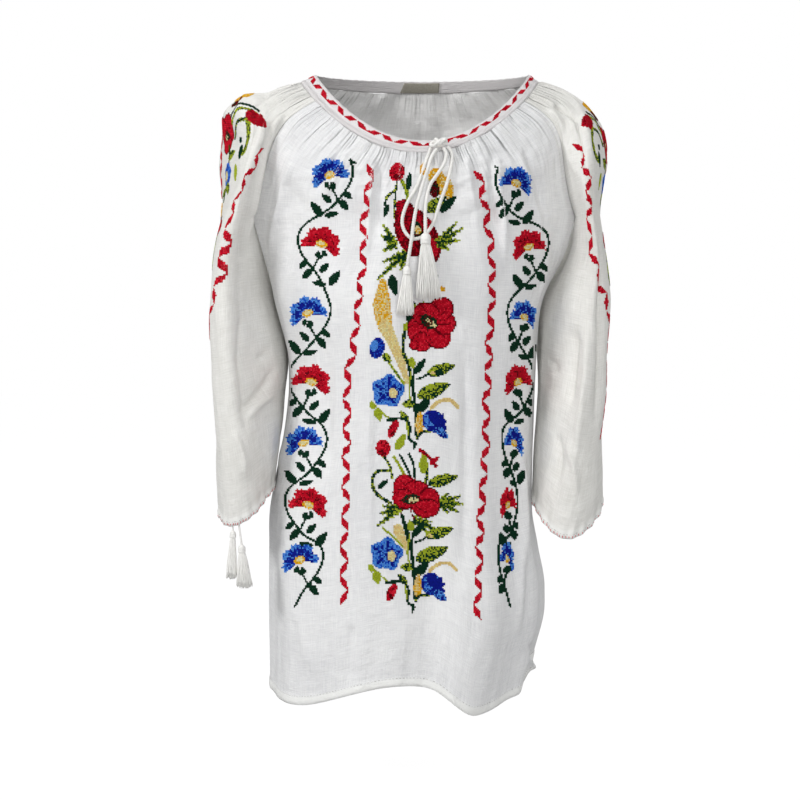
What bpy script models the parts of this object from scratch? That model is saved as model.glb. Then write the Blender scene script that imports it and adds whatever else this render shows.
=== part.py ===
"""A gathered folk blouse, filled out as if worn, with nobody in it.

Metres. +X is the viewer's right, -Y the front and +Z up. The origin lies midway between
the two places where the neckband rests on the wearer's shoulders.
"""

import math
from collections import namedtuple

import bmesh
import bpy
import numpy as np
from mathutils import Matrix, Vector
from mathutils.bvhtree import BVHTree

# Cloth
WALL = 0.0015
BAND_WALL = 0.0024
SEAM_GAP = 0.0003
SHARPEST_MITRE = 0.3
ARMPIT_EASE = 4
ARMPIT_THINNING = 0.35
ARMPIT_REACH = 0.4
HEM_WIDTH = 0.009
HEM_EXTRA = 0.0005

# Heights below the shoulders
ARMPIT_DROP = 0.160
SIDES_ROUND_DROP = 0.256

# Neckline: the band's lower edge, where the gathers start, and its upper edge
NeckRing = namedtuple("NeckRing", "centre half_width front back shoulder_z front_z back_z")
NECK_SEAM = NeckRing(0.0085, 0.1365, -0.1000, 0.0820, -0.0060, -0.0900, -0.0130)
NECK_TOP = NeckRing(0.0120, 0.1215, -0.0892, 0.0740, 0.0030, -0.0756, 0.0010)
NECK_SCOOP = 1.8
BAND_OPENING = 0.0036
BAND_COLUMNS = 80

# Body sections from the armpit to below the hem. x of both sides, y of the sides, front and back
BodySection = namedtuple("BodySection", "drop left right side_y front back")
BODY = (
    BodySection(0.160, -0.1840, 0.1870, -0.030, -0.118, 0.110),
    BodySection(0.200, -0.1720, 0.1760, -0.025, -0.122, 0.112),
    BodySection(0.256, -0.1570, 0.1500, -0.015, -0.122, 0.110),
    BodySection(0.310, -0.1440, 0.1440, -0.012, -0.120, 0.107),
    BodySection(0.350, -0.1420, 0.1420, -0.010, -0.118, 0.105),
    BodySection(0.410, -0.1480, 0.1400, -0.008, -0.118, 0.105),
    BodySection(0.470, -0.1600, 0.1380, -0.004, -0.119, 0.107),
    BodySection(0.500, -0.1650, 0.1390, -0.002, -0.120, 0.108),
    BodySection(0.540, -0.1660, 0.1460, 0.000, -0.121, 0.110),
    BodySection(0.590, -0.1665, 0.1545, 0.000, -0.123, 0.112),
    BodySection(0.620, -0.1665, 0.1540, 0.000, -0.124, 0.114),
    BodySection(0.660, -0.1660, 0.1440, 0.000, -0.125, 0.115),
    BodySection(0.760, -0.1650, 0.1200, 0.000, -0.126, 0.116),
)
FRONT_POWER = 0.85
ARMPIT_CORNER = 0.85

# Sleeve sections, as a tilted oval: centre, half width, half depth, and turn of its front end outwards
SleeveSection = namedtuple("SleeveSection", "drop centre_x centre_y half_width half_depth tilt")
RIGHT_SLEEVE = (
    SleeveSection(0.160, 0.2040, -0.012, 0.0170, 0.070, 0),
    SleeveSection(0.200, 0.2005, -0.012, 0.0190, 0.069, 9),
    SleeveSection(0.256, 0.1860, -0.014, 0.0275, 0.072, 20),
    SleeveSection(0.300, 0.1840, -0.018, 0.0310, 0.072, 22),
    SleeveSection(0.350, 0.1850, -0.024, 0.0340, 0.070, 20),
    SleeveSection(0.430, 0.1820, -0.032, 0.0385, 0.062, 12),
    SleeveSection(0.480, 0.1790, -0.037, 0.0385, 0.054, 6),
    SleeveSection(0.530, 0.1750, -0.041, 0.0330, 0.044, 0),
)
LEFT_SLEEVE = (
    SleeveSection(0.160, 0.2030, -0.012, 0.0190, 0.072, 0),
    SleeveSection(0.200, 0.1965, -0.012, 0.0200, 0.072, 15),
    SleeveSection(0.256, 0.1905, -0.014, 0.0225, 0.076, 22),
    SleeveSection(0.310, 0.1873, -0.020, 0.0323, 0.078, 24),
    SleeveSection(0.350, 0.1885, -0.026, 0.0375, 0.076, 20),
    SleeveSection(0.410, 0.1903, -0.035, 0.0372, 0.068, 12),
    SleeveSection(0.470, 0.1915, -0.040, 0.0310, 0.056, 4),
    SleeveSection(0.515, 0.1930, -0.042, 0.0250, 0.044, 0),
)
ARMPIT_SKEW = -0.018

# Lower edges: how far down the hem is around the body, and each cuff at four places
HemPlace = namedtuple("HemPlace", "turn drop")
HEM = (
    HemPlace(-180, 0.710),
    HemPlace(-130, 0.712),
    HemPlace(-90, 0.705),
    HemPlace(-50, 0.713),
    HemPlace(0, 0.686),
    HemPlace(14, 0.690),
    HemPlace(35, 0.720),
    HemPlace(60, 0.706),
    HemPlace(90, 0.675),
    HemPlace(140, 0.702),
    HemPlace(180, 0.710),
)
CuffEdge = namedtuple("CuffEdge", "inner front outer back")
RIGHT_CUFF = CuffEdge(0.490, 0.524, 0.487, 0.490)
LEFT_CUFF = CuffEdge(0.473, 0.506, 0.502, 0.490)

# Thread lines from the neck to the armpit's height: the turn about the neck, the pull of
# the line's two ends, and its length
Strand = namedtuple("Strand", "turn lead rise length")
STRANDS = (
    Strand(0, 0.022, 0.025, 0.075),
    Strand(45, 0.060, 0.060, 0.145),
    Strand(90, 0.076, 0.112, 0.210),
    Strand(135, 0.070, 0.075, 0.180),
    Strand(180, 0.040, 0.050, 0.152),
)
FRONT_SEAM_FALL = (0.35, 0.30, -0.89)
BACK_SEAM_FALL = (0.25, -0.45, -0.86)
SEAM_PULL = 3

# Gathers under the band
FRONT_GATHERS = 32
SLEEVE_GATHERS = 16
GATHER_START = 0.007
FINE_HEIGHT = 0.0012
FINE_LENGTH = 0.070
BROAD_HEIGHT = 0.0016
BROAD_LENGTH = 0.115

# Puckers at the cuffs
CUFF_PUCKERS = 16
PUCKER_HEIGHT = 0.0011
PUCKER_LENGTH = 0.032

# Folds: place across the panel, first and last row, half width across, and height
Fold = namedtuple("Fold", "across first last half_width height")
FRONT_FOLDS = (
    Fold(-0.15, 0.55, 1.22, 0.055, 0.0030),
    Fold(0.36, 0.55, 1.25, 0.055, 0.0035),
    Fold(0.10, 1.50, 2.30, 0.130, -0.0100),
    Fold(0.36, 1.45, 2.30, 0.110, 0.0080),
    Fold(0.70, 1.40, 2.30, 0.060, 0.0060),
    Fold(-0.58, 1.45, 2.30, 0.130, 0.0060),
    Fold(-0.33, 1.65, 2.30, 0.080, -0.0030),
)
BACK_FOLDS = (
    Fold(-0.62, 1.30, 2.30, 0.120, 0.0070),
    Fold(-0.22, 1.45, 2.30, 0.120, -0.0060),
    Fold(0.18, 1.35, 2.30, 0.120, 0.0080),
    Fold(0.58, 1.45, 2.30, 0.100, -0.0050),
    Fold(-0.35, 0.55, 1.25, 0.060, 0.0030),
    Fold(0.28, 0.60, 1.30, 0.060, 0.0035),
)
RIGHT_FOLDS = (
    Fold(0.20, 0.35, 0.90, 0.040, -0.0050),
    Fold(0.30, 0.30, 0.92, 0.040, 0.0045),
    Fold(0.27, 1.02, 1.75, 0.045, -0.0080),
    Fold(0.37, 0.90, 1.95, 0.060, 0.0040),
    Fold(0.18, 1.15, 1.90, 0.050, 0.0030),
    Fold(0.72, 1.10, 1.90, 0.060, -0.0050),
)
LEFT_FOLDS = (
    Fold(0.14, 0.30, 0.90, 0.040, 0.0040),
    Fold(0.22, 0.35, 0.90, 0.035, -0.0030),
    Fold(0.19, 0.90, 1.75, 0.050, 0.0080),
    Fold(0.10, 1.20, 1.95, 0.050, -0.0030),
    Fold(0.36, 1.05, 1.85, 0.060, 0.0030),
    Fold(0.74, 1.10, 1.90, 0.060, -0.0050),
)
SEAM_CALM = 0.12

# Grid: shares of the way from neck to armpit, then from armpit to edge
UPPER_ROWS = (0.0, 0.05, 0.12, 0.22, 0.34, 0.48, 0.64, 0.81)
BODY_ROWS = (0.0, 0.04, 0.10, 0.18, 0.27, 0.36, 0.46, 0.56, 0.66, 0.76, 0.86, 0.94)
SLEEVE_ROWS = (0.0, 0.07, 0.16, 0.27, 0.39, 0.51, 0.63, 0.75, 0.85, 0.93)
FRONT_COLUMNS = 64
SLEEVE_COLUMNS = 32

# Drawcord: places across and down, and how many cords deep each lies off the cloth
CORD_RADIUS = 0.0019
CORD_POINT_SPACING = 0.008
CordPlace = namedtuple("CordPlace", "x drop layer")
LEFT_CORD = (
    CordPlace(0.0275, 0.0850, 1.9),
    CordPlace(0.0221, 0.0930, 2.1),
    CordPlace(0.0163, 0.1105, 2.1),
    CordPlace(0.0105, 0.1279, 1.9),
    CordPlace(0.0047, 0.1489, 1.9),
    CordPlace(0.0012, 0.1675, 2.0),
    CordPlace(-0.0012, 0.1861, 2.2),
    CordPlace(-0.0040, 0.2035, 2.2),
    CordPlace(-0.0060, 0.2162, 2.2),
)
RIGHT_CORD = (
    CordPlace(0.0338, 0.0851, 2.6),
    CordPlace(0.0375, 0.0915, 2.6),
    CordPlace(0.0352, 0.1023, 2.2),
    CordPlace(0.0279, 0.1140, 1.6),
    CordPlace(0.0198, 0.1256, 1.3),
    CordPlace(0.0151, 0.1430, 1.6),
    CordPlace(0.0140, 0.1628, 2.4),
    CordPlace(0.0140, 0.1803, 2.9),
)
BOW_LOOP = (
    CordPlace(0.0205, 0.0838, 1.2),
    CordPlace(0.0140, 0.1023, 1.0),
    CordPlace(0.0047, 0.1279, 1.0),
    CordPlace(-0.0070, 0.1489, 1.0),
    CordPlace(-0.0116, 0.1675, 1.0),
    CordPlace(-0.0070, 0.1803, 1.0),
    CordPlace(0.0012, 0.1861, 1.0),
    CordPlace(0.0105, 0.1838, 1.0),
    CordPlace(0.0209, 0.1721, 1.0),
    CordPlace(0.0302, 0.1465, 1.2),
    CordPlace(0.0384, 0.1233, 1.3),
    CordPlace(0.0430, 0.1047, 1.4),
    CordPlace(0.0442, 0.0954, 1.2),
    CordPlace(0.0418, 0.0872, 1.2),
    CordPlace(0.0382, 0.0833, 1.6),
)
KNOT_CENTRE = (0.0291, -0.1040, -0.0790)
KNOT_HALF = (0.0105, 0.0042, 0.0048)

# Tassels: head centre, head radius, then the skirt's lower end, half width and half depth
Tassel = namedtuple("Tassel", "x drop layer head length half_width half_depth lean stem_x")
NECK_TASSELS = (
    Tassel(-0.0062, 0.2208, 2.2, 0.0044, 0.052, 0.0100, 0.0048, -0.002, None),
    Tassel(0.0142, 0.1858, 2.9, 0.0056, 0.070, 0.0145, 0.0060, 0.004, None),
)
CUFF_TASSELS = (
    Tassel(-0.2028, 0.5190, 1.0, 0.0034, 0.052, 0.0062, 0.0055, -0.002, -0.2028),
    Tassel(-0.1925, 0.5350, 1.0, 0.0040, 0.046, 0.0092, 0.0060, 0.003, -0.1958),
)
CUFF_LEVEL = 0.5045
STEM_RADIUS = 0.0012
STRANDS_ACROSS = 4
STRAND_GAP = 0.16
HEAD_PROFILE = ((0.0, 0.78), (0.45, 1.0), (1.2, 0.98), (1.75, 0.62))

# Label inside the back of the band
LABEL_LEFT = -0.0085
LABEL_RIGHT = 0.0330
LABEL_TOP_SHARE = 0.10
LABEL_BOTTOM_SHARE = 0.90
LABEL_THICKNESS = 0.0010
LABEL_COLUMNS = 4

FRONT_TURN = math.radians(60)
STEP = 1e-4


def smooth(xs, ys, at):
    """A smooth curve through the points (xs, ys), level where they turn back."""
    xs = np.asarray(xs, float)
    ys = np.asarray(ys, float)
    at = np.clip(at, xs[0], xs[-1])
    steps = np.diff(ys) / np.diff(xs)
    slopes = np.concatenate([steps[:1], (steps[:-1] + steps[1:]) / 2, steps[-1:]])
    slopes[1:-1][steps[:-1] * steps[1:] <= 0] = 0
    i = np.clip(np.searchsorted(xs, at, side="right") - 1, 0, len(xs) - 2)
    width = xs[i + 1] - xs[i]
    s = (at - xs[i]) / width
    start = (1 + 2 * s) * (1 - s) ** 2 * ys[i] + s * (1 - s) ** 2 * width * slopes[i]
    end = s * s * (3 - 2 * s) * ys[i + 1] + s * s * (s - 1) * width * slopes[i + 1]
    return start + end


def column(table, name):
    """One column of a table, as an array."""
    return np.array([getattr(row, name) for row in table], float)


def read(table, key, name, at):
    """The smooth value of column `name` where column `key` is `at`."""
    return smooth(column(table, key), column(table, name), at)


def ramp(x):
    """0 below 0, 1 above 1, and a soft rise between."""
    x = np.clip(x, 0, 1)
    return x * x * (3 - 2 * x)


def unit(v):
    return v / np.linalg.norm(v, axis=-1, keepdims=True)


def join(x, y, z):
    return np.stack(np.broadcast_arrays(x, y, z), axis=-1)


def neck_point(ring, turn):
    """A point of a neck ring. Turn 0 is the centre front, and a quarter turn the right shoulder."""
    across = np.sin(turn)
    along = np.cos(turn)
    y = np.where(along > 0, ring.front, -ring.back) * along
    fall = np.where(along > 0, ring.front_z, ring.back_z) - ring.shoulder_z
    power = np.where(along > 0, NECK_SCOOP, 2.0)
    z = ring.shoulder_z + fall * np.abs(along) ** power
    return join(ring.centre + ring.half_width * across, y, z)


def body_point(turn, drop):
    """A point of the body below the armpits. Turn 0 is the front, and a quarter turn the right side."""
    across = np.sin(turn)
    along = np.cos(turn)
    left, right, side_y, front, back = (read(BODY, "drop", name, drop) for name in BodySection._fields[1:])
    corner = ARMPIT_CORNER * (1 - ramp((drop - ARMPIT_DROP) / (SIDES_ROUND_DROP - ARMPIT_DROP)))
    straight = 2 / np.pi * np.arcsin(np.clip(across, -1, 1))
    power = FRONT_POWER + (1 - FRONT_POWER) * across**2
    depth = np.where(along > 0, front, back) - side_y
    x = (left + right) / 2 + (right - left) / 2 * ((1 - corner) * across + corner * straight)
    return join(x, side_y + depth * np.abs(along) ** power, -drop)


def sleeve_point(side, around, drop):
    """A point of a sleeve. Around is 0 at the armpit side, 0.25 in front and 0.5 at the outside."""
    table = RIGHT_SLEEVE if side > 0 else LEFT_SLEEVE
    centre_x, centre_y, half_width, half_depth, tilt = (
        read(table, "drop", name, drop) for name in SleeveSection._fields[1:]
    )
    inner = np.cos(2 * np.pi * around)
    forward = np.sin(2 * np.pi * around)
    tilt = np.radians(tilt)
    skew = ARMPIT_SKEW * (1 - ramp((drop - ARMPIT_DROP) / (SIDES_ROUND_DROP - ARMPIT_DROP)))
    outward = -half_width * inner * np.cos(tilt) + half_depth * forward * np.sin(tilt)
    back = -half_width * inner * np.sin(tilt) - half_depth * forward * np.cos(tilt)
    x = side * (centre_x + outward)
    return join(x, centre_y + back + skew * (1 + inner) / 2, -drop)


def hem_drop(turn):
    degrees = (np.degrees(turn) + 180) % 360 - 180
    return read(HEM, "turn", "drop", degrees)


def cuff_drop(side, around):
    cuff = RIGHT_CUFF if side > 0 else LEFT_CUFF
    angle = 2 * np.pi * around
    level = sum(cuff) / 4
    tip = (cuff.inner - cuff.outer) / 2 * np.cos(angle) + (cuff.front - cuff.back) / 2 * np.sin(angle)
    bow = (cuff.inner + cuff.outer - cuff.front - cuff.back) / 4 * np.cos(2 * angle)
    return level + tip + bow


def strand(turn, share, end, fall):
    """A point of the thread line that leaves the neck seam at `turn` and reaches `end` along `fall`."""
    degrees = np.degrees(np.arccos(np.clip(np.cos(turn), -1, 1)))
    lead = read(STRANDS, "turn", "lead", degrees)[..., None]
    rise = read(STRANDS, "turn", "rise", degrees)[..., None]
    along = np.cos(turn)
    out = unit(join(np.sin(turn), -0.35 * along, -(0.28 + 0.67 * along**2)))
    start = neck_point(NECK_SEAM, turn)
    second = start + lead * out
    third = end - rise * fall
    t = np.asarray(share)[..., None]
    return (1 - t) ** 3 * start + 3 * t * (1 - t) ** 2 * second + 3 * t * t * (1 - t) * third + t**3 * end


def fall_to_armpit(own, pull, side, facing):
    """The direction in which a thread line arrives, shared by both panels where they meet."""
    front = join(side * FRONT_SEAM_FALL[0], FRONT_SEAM_FALL[1], FRONT_SEAM_FALL[2])
    back = join(side * BACK_SEAM_FALL[0], BACK_SEAM_FALL[1], BACK_SEAM_FALL[2])
    shared = unit(np.where(np.asarray(facing)[..., None] > 0, front, back))
    pull = np.asarray(pull)[..., None]
    return unit((1 - pull) * unit(own) + pull * shared)


def body_panel_point(facing, across, row):
    """Facing 1 is the front panel and -1 the back. Across is -1 to 1, row 0 to 1 to 2."""
    across, row = np.broadcast_arrays(across, row)
    turn = across * np.pi / 2 if facing > 0 else np.pi - across * np.pi / 2
    neck_turn = across * FRONT_TURN if facing > 0 else np.pi - across * FRONT_TURN
    low = ARMPIT_DROP + (hem_drop(turn) - ARMPIT_DROP) * np.clip(row - 1, 0, 2)
    end = body_point(turn, ARMPIT_DROP)
    own = (body_point(turn, ARMPIT_DROP + STEP) - end) * join(1 - across**2, 1, 1)
    fall = fall_to_armpit(own, np.abs(across) ** SEAM_PULL, np.sign(across), facing)
    upper = strand(neck_turn, np.clip(row, 0, 1), end, fall)
    return np.where((row < 1)[..., None], upper, body_point(turn, low))


def sleeve_panel_point(side, around, row):
    """Side 1 is the viewer's right. Around is 0 to 1 from the front seam to the back seam."""
    around, row = np.broadcast_arrays(around, row)
    neck_turn = side * (FRONT_TURN + around * (np.pi - 2 * FRONT_TURN))
    low = ARMPIT_DROP + (cuff_drop(side, around) - ARMPIT_DROP) * np.clip(row - 1, 0, 2)
    end = sleeve_point(side, around, ARMPIT_DROP)
    own = sleeve_point(side, around, ARMPIT_DROP + STEP) - end
    facing = np.where(around < 0.5, 1, -1)
    fall = fall_to_armpit(own, np.abs(2 * around - 1) ** SEAM_PULL, side, facing)
    upper = strand(neck_turn, np.clip(row, 0, 1), end, fall)
    return np.where((row < 1)[..., None], upper, sleeve_point(side, around, low))


def gathers(across, distance, count):
    """Lift of the gathers under the band, at a share across of a panel that holds `count` of them."""
    fine = FINE_HEIGHT * np.cos(2 * np.pi * count * across) * (1 - ramp(distance / FINE_LENGTH))
    broad = BROAD_HEIGHT * np.cos(np.pi * count * across) * (1 - ramp(distance / BROAD_LENGTH))
    return (fine + broad) * (0.25 + 0.75 * ramp(distance / GATHER_START))


def folds(table, across, row):
    """Lift of a panel's folds, each a long soft ridge or trough."""
    lift = np.zeros(np.broadcast(across, row).shape)
    for fold in table:
        length = fold.last - fold.first
        along = ramp((row - fold.first) / (length * 0.4)) * ramp((fold.last - row) / (length * 0.4))
        lift = lift + fold.height * along * np.exp(-(((across - fold.across) / fold.half_width) ** 2))
    return lift


def neck_distance(turn, row):
    degrees = np.degrees(np.arccos(np.clip(np.cos(turn), -1, 1)))
    return row * read(STRANDS, "turn", "length", degrees)


def body_panel_lift(facing, across, row):
    table = FRONT_FOLDS if facing > 0 else BACK_FOLDS
    neck_turn = across * FRONT_TURN if facing > 0 else np.pi - across * FRONT_TURN
    lift = gathers((across + 1) / 2, neck_distance(neck_turn, row), FRONT_GATHERS) + folds(table, across, row)
    return lift * ramp((1 - np.abs(across)) / SEAM_CALM)


def sleeve_panel_lift(side, around, row):
    table = RIGHT_FOLDS if side > 0 else LEFT_FOLDS
    neck_turn = FRONT_TURN + around * (np.pi - 2 * FRONT_TURN)
    lift = gathers(around, neck_distance(neck_turn, row), SLEEVE_GATHERS) + folds(table, around, row)
    to_cuff = (2 - row) * (cuff_drop(side, around) - ARMPIT_DROP)
    pucker = PUCKER_HEIGHT * np.cos(2 * np.pi * CUFF_PUCKERS * around) * (1 - ramp(to_cuff / PUCKER_LENGTH))
    calm = ramp((1 - np.abs(2 * around - 1)) / SEAM_CALM)
    return lift * calm + pucker


def surface_normal(point, sign, across, row, limits):
    """The outward normal of a panel, from points close by and within the panel's own edges."""
    side = point(np.clip(across + STEP, *limits), row) - point(np.clip(across - STEP, *limits), row)
    down = point(across, row + STEP) - point(across, np.maximum(row - STEP, 0))
    return unit(sign * np.cross(down, side))


def neck_normal(turn):
    """The normal shared by the band and the panels along their seam."""
    around = neck_point(NECK_SEAM, turn + STEP) - neck_point(NECK_SEAM, turn - STEP)
    along = np.cos(turn)
    cloth = unit(join(np.sin(turn), -0.35 * along, -(0.28 + 0.67 * along**2)))
    band = unit(neck_point(NECK_SEAM, turn) - neck_point(NECK_TOP, turn))
    return unit(np.cross(unit(cloth + band), around))


def seam_offset(side, facing, row):
    """The mean normal of the two panels that meet at a seam, longer where they meet at an angle."""
    front = surface_normal(lambda a, v: body_panel_point(1, a, v), 1, side * 1.0, row, (-1, 1))
    back = surface_normal(lambda a, v: body_panel_point(-1, a, v), -1, side * 1.0, row, (-1, 1))
    edge = 0.0 if facing > 0 else 1.0
    sleeve = surface_normal(lambda a, v: sleeve_panel_point(side, a, v), side, edge, row, (0, 1))
    body = front if facing > 0 else back
    other = np.where((row < 1)[..., None], sleeve, back if facing > 0 else front)
    mean = unit(body + other)
    return mean / np.maximum((mean * body).sum(axis=-1, keepdims=True), SHARPEST_MITRE)


def neck_to_edge_rows(lower_rows, length):
    """Rows of a panel: neck to armpit as 0 to 1, armpit to edge as 1 to 2, with the hem's step last."""
    hem = 1 - HEM_WIDTH / length
    return [*UPPER_ROWS, *(1 + row for row in lower_rows), 1 + hem, 1 + hem + 0.002, 2.0]


def panel_rows(point, normal, offsets, lift, rows, columns, edge_columns):
    """Outer and inner points of a panel's wall, row by row. Columns is a function of the row."""
    outer = []
    inner = []
    for row in rows:
        across = columns(row)
        at = np.full(len(across), row)
        base = point(across, at)
        out = normal(across, at)
        if row == 0:
            out = offsets["neck"](across)
        elif edge_columns(row):
            out[[0, -1]] = offsets["sides"](at[:1])
        shift = np.zeros_like(base)
        if row == 0:
            shift += unit(point(across, at + STEP) - base)
        if edge_columns(row):
            shift[0] += unit(base[1] - base[0])
            shift[-1] += unit(base[-2] - base[-1])
        armpit = 1 - ramp(abs(row - 1) / ARMPIT_REACH)
        base = base + shift * SEAM_GAP / 2 * (1 + ARMPIT_EASE * armpit)
        wall = WALL + (HEM_EXTRA if row > rows[-3] + STEP else 0)
        to_edge = np.abs(np.linspace(-1, 1, len(across)))[:, None]
        wall = wall * (1 - ARMPIT_THINNING * armpit * ramp((to_edge - 1) / SEAM_CALM + 1))
        raised = lift(across, at)[:, None]
        outer.append(base + out * (raised + wall / 2))
        inner.append(base + out * (raised - wall / 2))
    return outer, inner


def strip_faces(upper, lower):
    """Faces between two rows of point numbers, the lower one with as many or half as many steps."""
    if len(upper) == len(lower):
        return [(upper[i], upper[i + 1], lower[i + 1], lower[i]) for i in range(len(upper) - 1)]
    faces = []
    for i in range(len(lower) - 1):
        faces.append((upper[2 * i], upper[2 * i + 1], lower[i]))
        faces.append((upper[2 * i + 1], lower[i + 1], lower[i]))
        faces.append((upper[2 * i + 1], upper[2 * i + 2], lower[i + 1]))
    return faces


def wall_mesh(name, outer, inner, numbers):
    """A closed wall from rows of outer and inner points, whose numbers may repeat round a tube."""
    points = [None] * (1 + max(max(row) for row in numbers))
    backs = list(points)
    for row, row_outer, row_inner in zip(numbers, outer, inner):
        for number, out, back in zip(row, row_outer, row_inner):
            points[number] = out
            backs[number] = back
    faces = [face for pair in zip(numbers, numbers[1:]) for face in strip_faces(*pair)]
    count = len(points)
    edges = {(a, b) for face in faces for a, b in zip(face, face[1:] + face[:1])}
    rim = [(b, a, a + count, b + count) for a, b in sorted(edges) if (b, a) not in edges]
    inside = [tuple(number + count for number in reversed(face)) for face in faces]
    return mesh_object(name, np.array(points + backs), faces + inside + rim)


def mesh_object(name, points, faces):
    mesh = bpy.data.meshes.new(name)
    mesh.from_pydata([tuple(map(float, p)) for p in points], [], faces)
    turned_out = bmesh.new()
    turned_out.from_mesh(mesh)
    bmesh.ops.recalc_face_normals(turned_out, faces=turned_out.faces)
    turned_out.to_mesh(mesh)
    turned_out.free()
    return place(name, mesh)


def place(name, data):
    obj = bpy.data.objects.new(name, data)
    bpy.context.scene.collection.objects.link(obj)
    return obj


def numbered(rows_of_points, closed_from):
    """Numbers for each row's points. From row `closed_from` on, the last point is the first."""
    numbers = []
    count = 0
    for index, row in enumerate(rows_of_points):
        own = len(row) - (1 if index >= closed_from else 0)
        line = list(range(count, count + own))
        if index >= closed_from:
            line.append(line[0])
        numbers.append(line)
        count += own
    return numbers


def sides_offset(left_of, right_of):
    """The offsets of a panel's first and last column, straight down at the armpit itself."""

    def offsets(row):
        if abs(row[0] - 1) < STEP:
            return np.array([[0, 0, -1.0], [0, 0, -1.0]])
        return np.concatenate([left_of(row), right_of(row)])

    return offsets


def body_panel(name, facing):
    """The front or back: gathered at the neck, with raglan edges and side seams."""
    sign = facing

    def point(a, v):
        return body_panel_point(facing, a, v)

    def neck(across):
        return neck_normal(across * FRONT_TURN if facing > 0 else np.pi - across * FRONT_TURN)

    def normal(a, v):
        return surface_normal(point, sign, a, v, (-1, 1))

    def columns(row):
        return np.linspace(-1, 1, (FRONT_COLUMNS if row < 1 else FRONT_COLUMNS // 2) + 1)

    sides = sides_offset(lambda v: seam_offset(-1, facing, v), lambda v: seam_offset(1, facing, v))
    rows = neck_to_edge_rows(BODY_ROWS, 0.54)
    outer, inner = panel_rows(
        point,
        normal,
        {"neck": neck, "sides": sides},
        lambda a, v: body_panel_lift(facing, a, v),
        rows,
        columns,
        lambda row: True,
    )
    return wall_mesh(name, outer, inner, numbered(outer, len(rows)))


def sleeve(name, side):
    """A sleeve: gathered at the neck, with raglan edges down to the armpit, and a closed tube below."""

    def point(a, v):
        return sleeve_panel_point(side, a, v)

    def neck(around):
        return neck_normal(side * (FRONT_TURN + around * (np.pi - 2 * FRONT_TURN)))

    def normal(a, v):
        if v[0] > 1:
            turned = surface_normal(lambda b, w: point(b % 1, w), side, a, v, (-1, 2))
            turned[-1] = turned[0]
            return turned
        return surface_normal(point, side, a, v, (0, 1))

    sides = sides_offset(lambda v: seam_offset(side, 1, v), lambda v: seam_offset(side, -1, v))
    rows = neck_to_edge_rows(SLEEVE_ROWS, 0.33)
    outer, inner = panel_rows(
        point,
        normal,
        {"neck": neck, "sides": sides},
        lambda a, v: sleeve_panel_lift(side, a, v),
        rows,
        lambda row: np.linspace(0, 1, SLEEVE_COLUMNS + 1),
        lambda row: row <= 1,
    )
    return wall_mesh(name, outer, inner, numbered(outer, len(UPPER_ROWS)))


def band_face(turn, share, layer):
    """A point of the neckband: share 0 at its upper edge, 1 at the seam, layer -1 inside to 1 outside."""
    top = neck_point(NECK_TOP, turn)
    seam = neck_point(NECK_SEAM, turn)
    edge = seam - unit(seam - top) * SEAM_GAP / 2
    return top + (edge - top) * share + neck_normal(turn) * BAND_WALL / 2 * layer


def neckband():
    """One strip round the neck, whose ends meet under the knot."""
    gap = BAND_OPENING / 2 / NECK_TOP.half_width
    start = KNOT_CENTRE[0] / NECK_SEAM.half_width * 0.75
    turns = np.linspace(start + gap, start + 2 * np.pi - gap, BAND_COLUMNS + 1)
    corners = ((0, 1), (1, 1), (1, -1), (0, -1))
    rings = [[tuple(band_face(turn, share, layer)) for share, layer in corners] for turn in turns]
    return loft("neckband", rings)


def loft(name, rings):
    """A closed solid through rings of equal length, capped at both ends."""
    count = len(rings[0])
    points = [point for ring in rings for point in ring]
    faces = [tuple(range(count)), tuple(range(len(points) - count, len(points)))]
    for i in range(len(rings) - 1):
        for j in range(count):
            k = (j + 1) % count
            faces.append((i * count + j, i * count + k, (i + 1) * count + k, (i + 1) * count + j))
    return mesh_object(name, points, faces)


def label():
    """A blank woven label on the inner face of the band, at the back."""
    reach = [(x - NECK_TOP.centre) / NECK_TOP.half_width for x in (LABEL_LEFT, LABEL_RIGHT)]
    turns = np.pi - np.linspace(math.asin(reach[0]), math.asin(reach[1]), LABEL_COLUMNS + 1)
    face = -1 - 2 * SEAM_GAP / BAND_WALL
    back = face - 2 * LABEL_THICKNESS / BAND_WALL
    corners = (
        (LABEL_TOP_SHARE, face),
        (LABEL_BOTTOM_SHARE, face),
        (LABEL_BOTTOM_SHARE, back),
        (LABEL_TOP_SHARE, back),
    )
    rings = [[tuple(band_face(turn, share, layer)) for share, layer in corners] for turn in turns]
    return loft("label", rings)


def cloth_tree(*panels):
    """A search tree over finished panels, to lay cords on them."""
    merged = bmesh.new()
    for panel in panels:
        merged.from_mesh(panel.data)
    tree = BVHTree.FromBMesh(merged)
    merged.free()
    return tree


def cloth_y(tree, x, drop):
    """The y of the cloth's nearest point in front, under a cord's width at this place."""
    near = ((0, 0), (1, 0), (-1, 0), (0, 1), (0, -1))
    starts = [Vector((x + CORD_RADIUS * i, -1, CORD_RADIUS * j - drop)) for i, j in near]
    hits = [tree.ray_cast(start, Vector((0, 1, 0)))[0] for start in starts]
    return min(hit.y for hit in hits if hit)


def edge_drop(tree, x, y):
    """How far down the cloth's lower edge is, over a stem's width at this place."""
    near = ((0, 0), (1, 0), (-1, 0), (0, 1), (0, -1))
    starts = [Vector((x + STEM_RADIUS * i, y + STEM_RADIUS * j, -1)) for i, j in near]
    hits = [tree.ray_cast(start, Vector((0, 0, 1)))[0] for start in starts]
    return -min(hit.z for hit in hits if hit)


def through(points, spacing):
    """Points at about `spacing` along a smooth curve through the given ones."""
    points = np.array(points)
    length = np.concatenate([[0], np.cumsum(np.linalg.norm(np.diff(points, axis=0), axis=1))])
    count = max(2, round(length[-1] / spacing))
    at = np.linspace(0, length[-1], count + 1)
    return np.stack([smooth(length, points[:, axis], at) for axis in range(3)], axis=1)


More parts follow.
